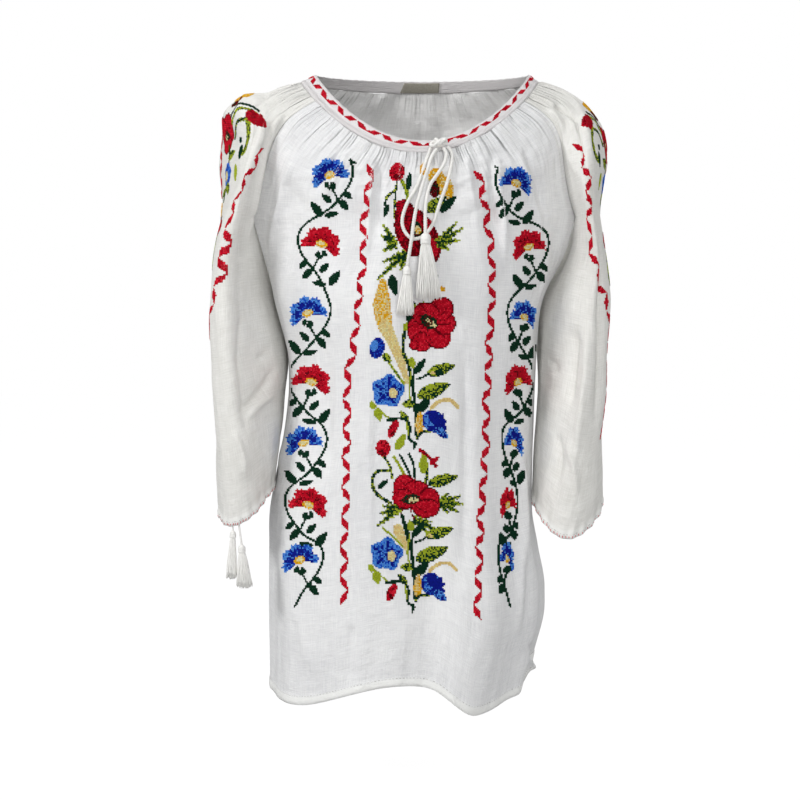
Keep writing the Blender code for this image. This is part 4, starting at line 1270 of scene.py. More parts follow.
def zigzag(chart, line, pitch=DIAMOND_PITCH, sway=DIAMOND_SWAY, half_width=DIAMOND_HALF_WIDTH):
    """A chain of leaning diamonds along a line."""
    line = smooth_line(line, 12)
    length = travelled(line)
    count = round(length[-1] / pitch)
    at = np.linspace(0, length[-1], count + 1)
    nodes = np.stack([np.interp(at, length, line[:, axis]) for axis in (0, 1)], axis=1)
    along = unit(np.gradient(nodes, axis=0))
    aside = np.stack([along[:, 1], -along[:, 0]], axis=1) * sway
    aside[::2] *= -1
    nodes = nodes + aside
    for start, end in zip(nodes, nodes[1:]):
        chart.diamond(tuple(start), tuple(end), half_width, "crimson", "bright_red")


def bud(chart, x, y, across, tall, tilt):
    chart.disc(x, y, across, tall, tilt, "crimson", "bright_red", "deep_crimson")
    chart.disc(x, y + tall * 0.5, across * 0.5, tall * 0.35, tilt, "deep_crimson", "crimson")


# Each lobe of a poppy: its place, half sizes and turn
Lobe = namedtuple("Lobe", "dx dy across tall turn")
FULL_POPPY = rows_of(
    Lobe,
    (-10, 8, 12, 15, 0),
    (-7, 20, 10, 10, 0),
    (9, 15, 13, 12, 20),
    (16, 1, 11, 12, 0),
    (12, -13, 13, 12, -15),
    (-3, -8, 14, 12, 0),
    (-15, 23, 5, 5, 0),
)
BROAD_POPPY = rows_of(
    Lobe,
    (-6, -10, 12, 15, -10),
    (6, -7, 14, 12, 20),
    (18, 2, 11, 14, 0),
    (15, 9, 14, 10, 0),
    (-7, 0, 12, 10, 30),
)
SMALL_POPPY = rows_of(Lobe, (-7, -5, 11, 13, 0), (8, -4, 11, 12, 20), (0, 9, 13, 10, 0))
LOBE_RIM = 1.4


def poppy(chart, x, y, lobes, heart, tilt):
    """An open poppy: overlapping lobes with dark rims and folds, and a black heart with cream seeds."""
    for dx, dy, across, tall, turn in lobes:
        chart.disc(x + dx, y + dy, across, tall, turn, "deep_crimson", "crimson")
        chart.disc(x + dx, y + dy, across - LOBE_RIM, tall - LOBE_RIM, turn, "crimson", "bright_red")
    u, v = chart.turned(x, y, tilt)
    reach = np.hypot(u, v)
    across, tall = heart
    folds_at = np.abs(np.sin(np.arctan2(u, v) * 4.5 + 0.08 * reach)) < 0.16
    chart.paint(folds_at & (reach < across * 2.3), "deep_crimson", "crimson")
    chart.disc(x, y, across, tall, tilt, "dark_green", "deep_crimson")
    chart.disc(x + 2, y + 1, across * 0.66, tall * 0.50, tilt, "cream", "dark_green", "deep_crimson")


def cornflower(chart, x, y, radius=17.0):
    """A five-sided blue flower with dark veins and a cream heart."""
    u, v = chart.turned(x - 3, y - 1, 8)
    angle = np.arctan2(u, v)
    reach = np.hypot(u, v)
    edge = radius * (0.92 + 0.09 * np.cos(5 * angle))
    chart.paint(reach < edge, "light_blue", "blue")
    chart.paint((reach < edge * 0.82) & (np.abs(np.sin(2.5 * angle)) < 0.30), "dark_blue")
    chart.paint((reach > 6.5) & (reach < 9.5) & (np.cos(9 * angle) > -0.3), "dark_blue", "blue")
    chart.disc(x + 2, y + 1, 6.4, 7.2, 0, "dark_blue", "light_blue")
    chart.disc(x + 2, y + 1, 4.3, 5.2, 0, "cream", "pale_straw")


def bell(chart, x, y):
    """A blue bell flower on its side, toothed at the mouth."""
    chart.disc(x - 2, y - 3, 10.5, 11.5, -30, "dark_blue", "blue", "light_blue")
    chart.disc(x - 5, y - 4, 4.5, 6.5, -20, "light_blue", "blue", "dark_blue")
    for dx, dy in ((9, -10), (12, -3), (12, 5), (10, 11), (1, -14), (-5, -14)):
        chart.leaf((x, y), (x + dx, y + dy), 7, "dark_blue", "dark_blue")
    chart.leaf((x + 1, y + 4), (x + 13, y + 14), 8, "dark_blue", "light_blue")


def spray(chart, dx, dy):
    """The lower half of the bouquet, worked twice: cornflower, bell, hanging bud and leaves."""

    def at(*place):
        return place[0] + dx, place[1] + dy

    light, dark = "light_green", "dark_green"
    main_stem = ((408, 362), (411, 378), (413, 389), (415, 406), (416, 424), (417, 438))
    low_stem = ((390, 419), (399, 418), (407, 421), (410, 429), (409, 438), (416, 444))
    chart.stem([at(*place) for place in main_stem], 3.4, dark)
    chart.stem((at(411, 372), at(409, 390), at(412, 405)), 1.8, light)
    chart.stem((at(414, 370), at(414, 384)), 2.2, dark)
    chart.stem((at(415, 442), at(414, 449)), 2.0, dark)
    chart.leaf(at(414, 374), at(426, 358), 6)
    chart.leaf(at(413, 368), at(411, 357), 6, light, light)
    chart.stem((at(417, 379), at(423, 377), at(429, 373)), 2.0, dark)
    chart.leaf(at(427, 374), at(455, 365), 11, dark, light)
    chart.disc(*at(432, 373), 3.4, 1.8, 20, "pale_straw", light)
    chart.leaf(at(417, 397), at(450, 384), 14, dark, light)
    chart.stem((at(422, 396), at(442, 389)), 2.2, light, dark)
    chart.leaf(at(416, 412), at(430, 400), 9)
    chart.leaf(at(415, 404), at(402, 404), 8, dark, light)
    chart.stem((at(431, 408), at(440, 401), at(449, 400), at(458, 407)), 3.6, "pale_straw")
    chart.leaf(at(419, 434), at(420, 411), 8, "straw", "pale_straw")
    chart.stem((at(417, 437), at(423, 432), at(430, 432)), 2.8, dark, light)
    bell(chart, *at(435, 424))
    cornflower(chart, *at(391, 392))
    chart.stem((at(373, 403), at(378, 409), at(390, 419)), 1.8, light)
    chart.leaf(at(377, 408), at(380, 421), 8, light, light)
    chart.leaf(at(374, 409), at(371, 401), 5, light, light)
    chart.leaf(at(408, 421), at(400, 411), 6, light, dark)
    chart.stem([at(*place) for place in low_stem], 2.6, dark)
    chart.stem((at(407, 423), at(408, 435)), 1.8, light)
    bud(chart, *at(393, 429), 4.2, 9.5, 26)
    chart.stem((at(388, 420), at(396, 419)), 3.4, dark)


# How far the lower spray is from the upper one, across and down
LOWER_SPRAY = (-1.5, 163)


def wheat(chart, places, widths, *names):
    """An ear or ribbon of straw colour that swells and thins along its line."""
    line = smooth_line(places, 5)
    at = np.linspace(0, 1, len(line))
    sizes = np.interp(at, np.linspace(0, 1, len(widths)), widths)
    covered = np.zeros(chart.x.shape, bool)
    for start, end, width in zip(line, line[1:], sizes):
        distance, _ = to_polyline(chart.x, chart.y, (start, end))
        covered |= distance < width / 2
    chart.paint(covered, *names)
    streaks = np.sin(chart.x * 1.3 + 0.9 * np.sin(chart.y * 0.2)) > 0.80
    chart.paint(covered & streaks, names[-1], names[0])


def centre_column(chart):
    """The bouquet down the middle: poppies, straw, cornflowers, bells, buds and their leaves."""
    light, dark = "light_green", "dark_green"
    chart.stem(((397, 180), (395, 200), (394, 217)), 2.0, dark, light)
    chart.stem(((402, 181), (406, 190), (408, 200)), 3.4, light, "green")
    chart.stem(((396, 190), (387, 197), (385, 205)), 2.6, dark, light)
    chart.leaf((388, 204), (384, 217), 5)
    chart.leaf((408, 190), (410, 172), 5)
    bud(chart, 397, 172, 7.4, 9.6, 12)
    chart.leaf((423, 175), (423, 163), 6, "straw", "straw")
    chart.disc(436, 177, 7.5, 9, 0, "straw", "cream")
    chart.disc(445, 187, 8, 13, -25, "straw", "cream")
    chart.disc(434, 189, 5.5, 9, -10, "deep_crimson", dark)
    chart.leaf((426, 212), (446, 197), 12, dark, light)
    chart.leaf((440, 212), (456, 196), 8)
    petals = (
        ((397, 201), (405, 199), (413, 206), (414, 230), (408, 248), (398, 240), (394, 225)),
        ((412, 206), (424, 213), (432, 222), (438, 236), (428, 244), (414, 236)),
        ((424, 232), (438, 236), (441, 250), (435, 262), (428, 258), (423, 246)),
        ((398, 240), (410, 236), (424, 244), (421, 254), (412, 257), (403, 249)),
    )
    lit_petals = (
        ((398, 206), (404, 203), (410, 210), (409, 228), (402, 240), (397, 226)),
        ((416, 210), (425, 216), (433, 228), (427, 236), (417, 228)),
    )
    for petal in petals:
        chart.patch(petal, "deep_crimson", "crimson")
    for petal in lit_petals:
        chart.patch(petal, "crimson", "deep_crimson")
    chart.patch(((430, 238), (438, 242), (438, 252), (434, 259), (429, 250)), "crimson", "bright_red")
    chart.disc(416, 229, 6, 9, -20, "dark_green", "deep_crimson")
    chart.disc(418, 230, 3.4, 4.0, -20, "cream", "straw")
    chart.fern((438, 243), ((457, 222), (463, 228), (460, 240), (449, 250)))
    chart.fern((395, 245), ((383, 224), (381, 235), (382, 251)))
    chart.fern((406, 253), ((377, 280), (383, 262), (400, 271)))
    chart.leaf((391, 275), (396, 295), 9)
    chart.stem(((432, 262), (437, 277)), 2.2, dark, light)
    chart.disc(442, 289, 3.6, 2.6, 0, "straw", "pale_straw")
    wheat(chart, ((383, 283), (382, 305), (385, 326)), (8, 18, 14), "straw", "cream", "pale_straw")
    wheat(chart, ((385, 326), (393, 343), (401, 362), (407, 382)), (13, 10, 8, 4), "pale_straw", "cream")
    chart.stem(((405, 325), (403, 350), (408, 363)), 3.4, dark, light)
    chart.leaf((405, 330), (408, 322), 6, light, light)
    chart.leaf((413, 330), (412, 299), 12)
    chart.fern((416, 310), ((410, 299), (424, 302)))
    poppy(chart, 429, 322, FULL_POPPY, (9.5, 6.5), 35)
    spray(chart, 0, 0)
    chart.stem(((386, 358), (394, 370), (404, 384)), 2.6, light, "green")
    chart.disc(377, 348, 7.6, 10.5, 15, "dark_blue", "blue")
    chart.disc(374, 346, 4, 5.5, 10, "light_blue")
    chart.leaf((383, 354), (391, 362), 7, dark, light)
    chart.leaf((396, 450), (405, 434), 8, light, light)
    bud(chart, 383, 448, 7.2, 8.6, 0)
    chart.stem(((384, 457), (390, 466), (392, 478)), 2.6, dark, light)
    chart.stem(((394, 457), (399, 465), (404, 474)), 2.8, light)
    chart.stem(((400, 455), (406, 466), (411, 478)), 2.4, dark)
    chart.stem(((409, 454), (413, 463), (415, 478)), 2.4, dark)
    chart.stem(((426, 482), (427, 470), (424, 462)), 3.0, dark, light)
    chart.leaf((423, 474), (424, 452), 8, light, light)
    chart.stem(((420, 450), (428, 456), (436, 466)), 3.6, "crimson", "deep_crimson")
    chart.leaf((430, 464), (439, 457), 4, "crimson", "crimson")
    chart.leaf((428, 484), (458, 476), 11, dark, light)
    chart.stem(((391, 471), (379, 471), (372, 482), (376, 493), (390, 503)), 3.2, dark, light)
    chart.leaf((378, 488), (388, 480), 5)
    chart.fern((400, 508), ((377, 526), (379, 514), (382, 506)))
    chart.fern((440, 503), ((448, 493), (461, 496), (463, 504), (459, 512), (448, 513)))
    chart.fern((414, 520), ((432, 522), (437, 530), (428, 533)))
    poppy(chart, 411, 499, BROAD_POPPY, (9, 5), -8)
    chart.stem(((402, 515), (405, 527), (408, 540)), 3.2, dark)
    wheat(chart, ((398, 529), (402, 540), (407, 549)), (10, 8, 4), "pale_straw", "cream")
    chart.stem(((383, 528), (392, 536), (402, 546)), 2.2, light)
    spray(chart, *LOWER_SPRAY)


# How finely a sleeve and the band are measured to find places on them
AROUND_SAMPLES = 161
UPPER_SAMPLES = 90
LOWER_SAMPLES = 111
BAND_SAMPLES = 1200


class SleeveCloth:
    """Finds places on a finished sleeve: across from its outer line and down along it, in chart pixels."""

    def __init__(self, side, made):
        around = np.linspace(0, 1, AROUND_SAMPLES)
        upper = np.linspace(0, 1, UPPER_SAMPLES, endpoint=False)
        rows = np.concatenate([upper, np.linspace(1, 2, LOWER_SAMPLES)])
        place, down = np.broadcast_arrays(around[None], rows[:, None])
        self.points = sleeve_panel_point(side, place, down)
        self.normals = surface_normal(lambda a, v: sleeve_panel_point(side, a, v), side, place, down, (0, 1))
        steps = np.linalg.norm(np.diff(self.points, axis=1), axis=-1)
        across = np.concatenate([np.zeros((len(rows), 1)), steps.cumsum(axis=1)], axis=1)
        self.middle = len(around) // 2
        self.across = (across - across[:, self.middle : self.middle + 1]) / PIXEL
        self.down = travelled(self.points[:, self.middle]) / PIXEL
        self.tree = tree_of(made)

    def chart_place(self, px, py):
        """The chart place that appears at a pixel, on the half of the sleeve that faces the camera."""
        x, y = pixel_of(self.points[:, : self.middle + 1])
        row, column = np.unravel_index(np.argmin((x - px) ** 2 + (y - py) ** 2), x.shape)
        return self.across[row, column], self.down[row]

    def __call__(self, x, y):
        if not self.down[0] <= y <= self.down[-1]:
            return None, None
        upper = min(int(np.searchsorted(self.down, y, side="right")) - 1, len(self.down) - 2)
        share = (y - self.down[upper]) / (self.down[upper + 1] - self.down[upper])
        found = np.zeros(6)
        for row, weight in ((upper, 1 - share), (upper + 1, share)):
            if not self.across[row, 0] <= x <= self.across[row, -1]:
                return None, None
            columns = np.concatenate([self.points[row], self.normals[row]], axis=1).T
            found += weight * np.array([np.interp(x, self.across[row], column) for column in columns])
        return on_outer_face(self.tree, found[:3], unit(found[3:]))


def sleeve_chart(cloth, line):
    """A sleeve's column of flowers, between two chains of diamonds."""
    chart = Chart(*SLEEVE_CHART)
    places = [cloth.chart_place(*place) for place in line]
    chain = [places[0]]
    chain += [place for last, place in zip(places, places[1:]) if place[1] > last[1] + SHORTEST_STEP]
    across, down = chain[-1]
    chain += [(across + away, down + further) for away, further in CHAIN_TURNS_AWAY]
    chain.append((across + CHAIN_END_AWAY, CHAIN_END_DOWN))
    zigzag(chart, chain)
    zigzag(chart, [(x + 2 * COLUMN_DISTANCE, y) for x, y in chain])
    for top in BUNCH_TOPS:
        sleeve_flowers(chart, chain[0][0] + COLUMN_DISTANCE, top)
    return chart


def sleeve_flowers(chart, middle, top):
    """One bunch of the sleeve's column: straw flower, poppy bud, stems, cornflower and leaves."""

    def at(across, down):
        return middle + across, top + down

    light, dark = "light_green", "dark_green"
    chart.disc(*at(20, 7), 12, 9, 0, "straw", "pale_straw")
    chart.disc(*at(17, 16), 9, 4.5, 20, "deep_crimson", dark)
    chart.stem((at(-18, 16), at(-4, 22), at(10, 38)), 3.4, light, dark)
    chart.stem((at(-14, 12), at(2, 19), at(14, 34)), 3.2, dark)
    chart.stem((at(-18, 30), at(-6, 35), at(6, 48)), 3.4, dark, light)
    chart.stem((at(-20, 29), at(-28, 40), at(-30, 54), at(-25, 62), at(-20, 61)), 6.0, light, dark)
    chart.disc(*at(-24, 22), 13, 8, -6, "crimson", "deep_crimson")
    poppy(chart, *at(26, 46), SMALL_POPPY, (6, 4.5), 0)
    chart.leaf(at(-19, 54), at(-20, 70), 9)
    chart.leaf(at(-16, 52), at(-11, 47), 5)
    chart.leaf(at(-10, 76), at(-22, 92), 9, light, light)
    chart.stem((at(20, 56), at(12, 70), at(14, 92), at(8, 114)), 3.4, dark, "green")
    chart.leaf(at(15, 70), at(-2, 62), 9, dark, light)
    cornflower(chart, *at(16, 88), 12.5)
    chart.leaf(at(12, 96), at(-6, 106), 8, dark, light)
    chart.leaf(at(10, 104), at(28, 110), 8, dark, light)


def band_chart(length):
    """Leaning diamonds end to end round the neckband."""
    rows = BAND_STITCH_ROWS * STITCH
    chart = Chart(0, 0, length, rows)
    zigzag(chart, ((1, rows / 2), (length / 2, rows / 2), (length - 1, rows / 2)), 14.4, 2.9, 2.4)
    return chart


def band_map(made):
    """The band's length in chart pixels, and its outer face by chart places."""
    tree = tree_of(made)
    turns = np.linspace(band_start(), band_start() + 2 * np.pi, BAND_SAMPLES)
    line = band_face(turns, BAND_MIDDLE, 1)
    length = travelled(line) / PIXEL

    def place(x, y):
        turn = np.array([np.interp(x, length, turns)])
        share = BAND_MIDDLE + (y / STITCH / BAND_STITCH_ROWS - 0.5) * BAND_WORKED
        return on_outer_face(tree, band_face(turn, share, 0)[0], neck_normal(turn)[0])

    return length[-1], place


# Stitches on cloth


def arms(start, end, normal, lift):
    """Points of ridges of thread from one place to another: four at the foot and two on top."""
    along = end - start
    aside = unit(np.cross(normal, along)) * ARM_HALF_WIDTH
    low = -normal * ARM_SINK
    high = normal * lift
    first = start + along * ARM_END + low
    last = end - along * ARM_END + low
    tops = (start + along * ARM_RISE + high, end - along * ARM_RISE + high)
    return np.stack([first + aside, first - aside, last - aside, last + aside, *tops], axis=1)


def tents(quads, normal, lift):
    """Points of the lower arm of each stitch, spread to the edges of its cell."""
    low = normal * FOOT_RISE
    high = normal * lift
    first, second, third, fourth = (quads[:, i] for i in range(4))
    along = third - first
    tops = (first + along * ARM_RISE + high, third - along * ARM_RISE + high)
    return np.stack([first + low, second + low, third + low, fourth + low, *tops], axis=1)


ARM_FACES = ((4, 5, 3, 0), (5, 4, 1, 2), (4, 0, 1), (5, 2, 3), (3, 2, 1, 0))
TENT_FACES = ((0, 1, 4), (1, 2, 5, 4), (2, 3, 5), (3, 0, 4, 5), (3, 2, 1, 0))


def cell_corners(chart, cloth_at):
    """The four corners, the normal and the shade of every worked cell that finds its cloth."""
    found = {}

    def corner(i, j):
        if (i, j) not in found:
            found[i, j] = cloth_at(chart.left + i * STITCH, chart.top + j * STITCH)
        return found[i, j]

    quads = []
    normals = []
    shades = []
    for j, i in zip(*np.nonzero(chart.cells != BARE)):
        cell = [corner(i, j), corner(i + 1, j), corner(i + 1, j + 1), corner(i, j + 1)]
        if any(point is None for point, _ in cell):
            continue
        quads.append([tuple(point) for point, _ in cell])
        normals.append(tuple(sum((normal for _, normal in cell), Vector()).normalized()))
        shades.append(chart.cells[j, i])
    quads = np.array(quads)
    normals = np.array(normals)
    facing = np.cross(quads[:, 1] - quads[:, 0], quads[:, 3] - quads[:, 0])
    turned = (facing * normals).sum(axis=1) < 0
    quads[turned] = quads[turned][:, ::-1]
    kept = np.linalg.norm(quads[:, 0] - quads[:, 2], axis=1) < LONGEST_STITCH
    return quads[kept], normals[kept], np.array(shades)[kept]


def cross_stitch(name, charts, thread):
    """Every worked cell of each chart as two crossed arms of thread, laid on its cloth."""
    found = [cell_corners(chart, cloth_at) for chart, cloth_at in charts]
    quads, normals, shades = (np.concatenate(part) for part in zip(*found))
    low = tents(quads, normals, LOW_ARM)
    high = arms(quads[:, 1], quads[:, 3], normals, HIGH_ARM)
    points = np.stack([low, high], axis=1).reshape(-1, len(low[0]), 3)
    return ridges(name, points, np.repeat(shades, 2), (TENT_FACES, ARM_FACES), thread)


def ridges(name, arm_points, shades, patterns, thread):
    """Arms of thread as one mesh, each with its own colour, and painted shade darkening it at its foot."""
    per_arm = arm_points.shape[1]
    faces = [
        tuple(arm * per_arm + i for i in face)
        for arm in range(len(arm_points))
        for face in patterns[arm % len(patterns)]
    ]
    made = joined_mesh(name, arm_points.reshape(-1, 3), faces, False)
    draw = np.random.default_rng(STITCH_SEED)
    colours = np.array([thread.colour for thread in THREADS])[shades]
    colours = colours * draw.uniform(*THREAD_SHADES, (len(colours), 1))
    colours = np.repeat(colours[:, None], per_arm, axis=1)
    # painted shade at the foot of each arm, where it dips into the cloth
    colours[:, :4] *= FOOT_PAINTED_SHADE
    opaque = np.ones((*colours.shape[:2], 1))
    colours = np.concatenate([np.clip(colours, 0, 1), opaque], axis=2)
    layer = made.data.color_attributes.new("thread_colour", "FLOAT_COLOR", "POINT")
    layer.data.foreach_set("color", colours.reshape(-1))
    dress(made, thread)
    return made


def on_outer_face(tree, place, normal):
    """The cloth's outer face under a place, and its normal."""
    outside = Vector(place) + Vector(normal) * CLOTH_REACH
    point, found = tree.ray_cast(outside, -Vector(normal), 2 * CLOTH_REACH)[:2]
    return point, found


def sewn_line(point, sign, limits, starts, ends, tree):
    """Single stitches between pairs of places of a panel, laid on its outer face."""
    pairs = []
    normals = []
    for across, row, end_across, end_row in zip(*np.broadcast_arrays(*starts, *ends)):
        found = []
        for a, v in ((across, row), (end_across, end_row)):
            a, v = np.array([a]), np.array([v])
            found.append(on_outer_face(tree, point(a, v)[0], surface_normal(point, sign, a, v, limits)[0]))
        if all(place is not None for place, _ in found):
            pairs.append([tuple(place) for place, _ in found])
            normals.append(tuple(found[0][1]))
    pairs = np.array(pairs)
    return arms(pairs[:, 0], pairs[:, 1], np.array(normals), LOW_ARM)


# Cords, knot, tassels


def hanging_y(tree, place, near):
    """How far forward a cord or tassel hangs: its layer's depth off the foremost cloth close by."""
    starts = [Vector((place.x + across, -1, up - place.drop)) for across, up in near]
    hits = [tree.ray_cast(start, Vector((0, 1, 0)))[0] for start in starts]
    return min(hit.y for hit in hits if hit) - CORD_CLEARANCE - CORD_RADIUS * (2 * place.layer - 1)


def route_path(route, tree):
    """Points along a cord that lies on the cloth, or on the cord under it."""
    near = ((0, 0), (CORD_RADIUS, 0), (-CORD_RADIUS, 0), (0, CORD_RADIUS), (0, -CORD_RADIUS))
    places = np.array([(place.x, hanging_y(tree, place, near), -place.drop) for place in route])
    length = travelled(places)[-1]
    return resampled(places, np.linspace(0, length, max(8, round(length / CORD_STEP)) + 1))


def frames(path):
    """Two directions across the path at each of its points, carried along without twist."""
    along = unit(np.gradient(path, axis=0))
    aside = np.zeros_like(path)
    held = np.cross(along[0], [0.0, 1.0, 0.0])
    if np.linalg.norm(held) < 0.1:
        held = np.cross(along[0], [1.0, 0, 0])
    for number, direction in enumerate(along):
        held = unit(held - direction * (held @ direction))
        aside[number] = held
    return aside, np.cross(along, aside)


def twisted(name, path, radius, finish):
    """A cord of plies laid round each other, closed at both ends."""
    aside, over = frames(path)
    angle = np.linspace(0, 2 * np.pi, PLY_COUNT * PLY_POINTS, endpoint=False)
    turn = 2 * np.pi * travelled(path) / TWIST_PITCH
    lobes = 1 - PLY_DEPTH * (1 - np.abs(np.sin(PLY_COUNT * angle / 2)))
    whole = angle[None] + turn[:, None]
    ends = np.minimum(np.arange(len(path)), np.arange(len(path))[::-1])
    full = np.where(ends == 0, 0.55, 1.0)[:, None]
    size = (radius * lobes[None] * full)[..., None]
    outwards = np.cos(whole)[..., None] * aside[:, None] + np.sin(whole)[..., None] * over[:, None]
    made = loft(name, path[:, None] + size * outwards)
    dress(made, finish)
    return made


def wound(name, finish):
    """The tied knot: one length of cord wound about itself in three loops."""
    (centre_x, centre_y, centre_z), (wide, deep, tall) = KNOT_CENTRE, KNOT_HALF_SIZE
    t = np.linspace(0, 1, 150)
    angle = 2 * np.pi * (KNOT_TURNS * t + 0.15)
    sway = np.sin(2 * np.pi * t * (KNOT_TURNS - 1) + 0.6)
    x = centre_x + wide * 0.55 * sway + wide * 0.30 * np.cos(angle)
    y = centre_y + deep * 0.60 * np.sin(angle) - deep * 0.15
    z = centre_z + tall * 0.75 * np.cos(angle + 0.8 * sway)
    return twisted(name, np.stack([x, y, z], axis=1), CORD_RADIUS * KNOT_FULLNESS, finish)


def tube(path, radii, sides):
    """Rings of a plain round tube."""
    aside, over = frames(path)
    angle = np.linspace(0, 2 * np.pi, sides, endpoint=False)
    round_it = np.cos(angle)[None, :, None] * aside[:, None] + np.sin(angle)[None, :, None] * over[:, None]
    return path[:, None] + round_it * np.asarray(radii)[:, None, None]


def many_tubes(name, tubes):
    """Several closed tubes as one mesh."""
    points = []
    faces = []
    for rings in tubes:
        faces += tube_faces(*rings.shape[:2], len(points))
        points += list(rings.reshape(-1, 3))
    made = joined_mesh(name, points, faces)
    outward(made)
    return made


def tassel(name, spec, y, finish, seed, stem_top=None):
    """A bound head over a skirt of fine strands, and, where a stem top is given, the cord that it hangs from.
    """
    draw = random.Random(seed)
    head = spec.head
    top = -spec.drop + head * 1.1
    tuck = head * SKIRT_TUCK
    radii = [STRAND_RADIUS * taper for taper in STRAND_TAPER]
    tubes = []
    for number in range(TASSEL_STRANDS):
        reach = math.sqrt((number + 0.5) / TASSEL_STRANDS)
        turn = number * GOLDEN_ANGLE
        across = reach * math.cos(turn)
        deep = reach * math.sin(turn)
        length = spec.length * (0.90 + 0.10 * draw.random()) * (1 - 0.04 * reach)
        wave = draw.uniform(-0.0006, 0.0006)
        bend = draw.uniform(0, 2 * math.pi)
        path = []
        for share in np.linspace(0, 1, len(radii)):
            flare = share**0.75
            wide = head * SKIRT_TOP * (1 - flare) + spec.half_width * flare
            thick = head * SKIRT_TOP * (1 - flare) + spec.half_depth * flare
            swing = wave * math.sin(3 * math.pi * share + bend) * share
            x = spec.x + across * wide + spec.lean * share + swing
            path.append((x, y + deep * thick, -spec.drop - tuck - (length - tuck) * share))
        tubes.append(tube(np.array(path), radii, 5))
    tubes.append(head_rings(spec, y))
    winding = np.linspace(0, 1, 90)
    angle = 2 * np.pi * BINDING_TURNS * winding
    down = -spec.drop - head * (0.45 + 0.50 * winding)
    girth = head * BINDING_GIRTH
    bound = join(spec.x + girth * np.cos(angle), y + girth * np.sin(angle), down)
    tubes.append(tube(bound, np.full(len(bound), STRAND_RADIUS * 1.3), 6))
    if stem_top is not None:
        path = np.linspace((spec.x, y, top - 0.001), (spec.stem_x, y, stem_top), 12)
        tubes.append(tube(path, np.full(len(path), STEM_RADIUS), 8))
    made = many_tubes(name, tubes)
    dress(made, finish)
    return made


def head_rings(spec, y):
    """The rounded head of a tassel, ribbed by the strands bound into it."""
    angle = np.linspace(0, 2 * np.pi, 28, endpoint=False)
    rings = []
    for height, radius in HEAD_PROFILE:
        ribbed = spec.head * radius * (1 + 0.05 * np.cos(14 * angle))
        level = -spec.drop + spec.head * height
        rings.append(join(spec.x + ribbed * np.cos(angle), y + ribbed * np.sin(angle), level))
    return np.stack(rings)


# Finishes


def node(tree, kind, sockets=(), **settings):
    """A shader node with its settings, and a value or a link for each named or numbered socket."""
    made = tree.nodes.new(kind)
    for name, value in settings.items():
        setattr(made, name, value)
    for key, value in dict(sockets).items():
        if isinstance(value, bpy.types.NodeSocket):
            tree.links.new(value, made.inputs[key])
        else:
            made.inputs[key].default_value = value
    return made


def new_finish(name, roughness, sheen):
    material = bpy.data.materials.new(name)
    material.use_nodes = True
    tree = material.node_tree
    shader = tree.nodes["Principled BSDF"]
    shader.inputs["Roughness"].default_value = roughness
    shader.inputs["Sheen Weight"].default_value = sheen
    shader.inputs["Sheen Roughness"].default_value = 0.5
    shader.inputs["Specular IOR Level"].default_value = 0.25
    return material, tree, shader


def ramp_node(tree, factor, stops):
    made = node(tree, "ShaderNodeValToRGB", {"Fac": factor})
    while len(made.color_ramp.elements) < len(stops):
        made.color_ramp.elements.new(0.5)
    for element, (place, colour) in zip(made.color_ramp.elements, stops):
        element.position = place
        element.color = (*colour, 1)
    return made


def noise(tree, place, scales, detail=2.0, scale=1.0):
    """Noise over a place stretched by its own scale in each direction."""
    stretched = node(tree, "ShaderNodeMapping", {"Vector": place, "Scale": scales}).outputs["Vector"]
    sockets = {"Vector": stretched, "Scale": scale, "Detail": detail}
    return node(tree, "ShaderNodeTexNoise", sockets).outputs["Fac"]


def maths(tree, operation, first, second=0.0):
    return node(tree, "ShaderNodeMath", {0: first, 1: second}, operation=operation).outputs["Value"]


def fading(tree, value, start, end):
    """1 up to `start`, falling softly to 0 at `end`."""
    sockets = {"Value": value, "From Min": start, "From Max": end, "To Min": 1.0, "To Max": 0.0}
    return node(tree, "ShaderNodeMapRange", sockets, interpolation_type="SMOOTHSTEP").outputs["Result"]


def bump(tree, height, strength, distance, under=None):
    sockets = {"Height": height, "Strength": strength, "Distance": distance}
    if under:
        sockets["Normal"] = under
    return node(tree, "ShaderNodeBump", sockets).outputs["Normal"]


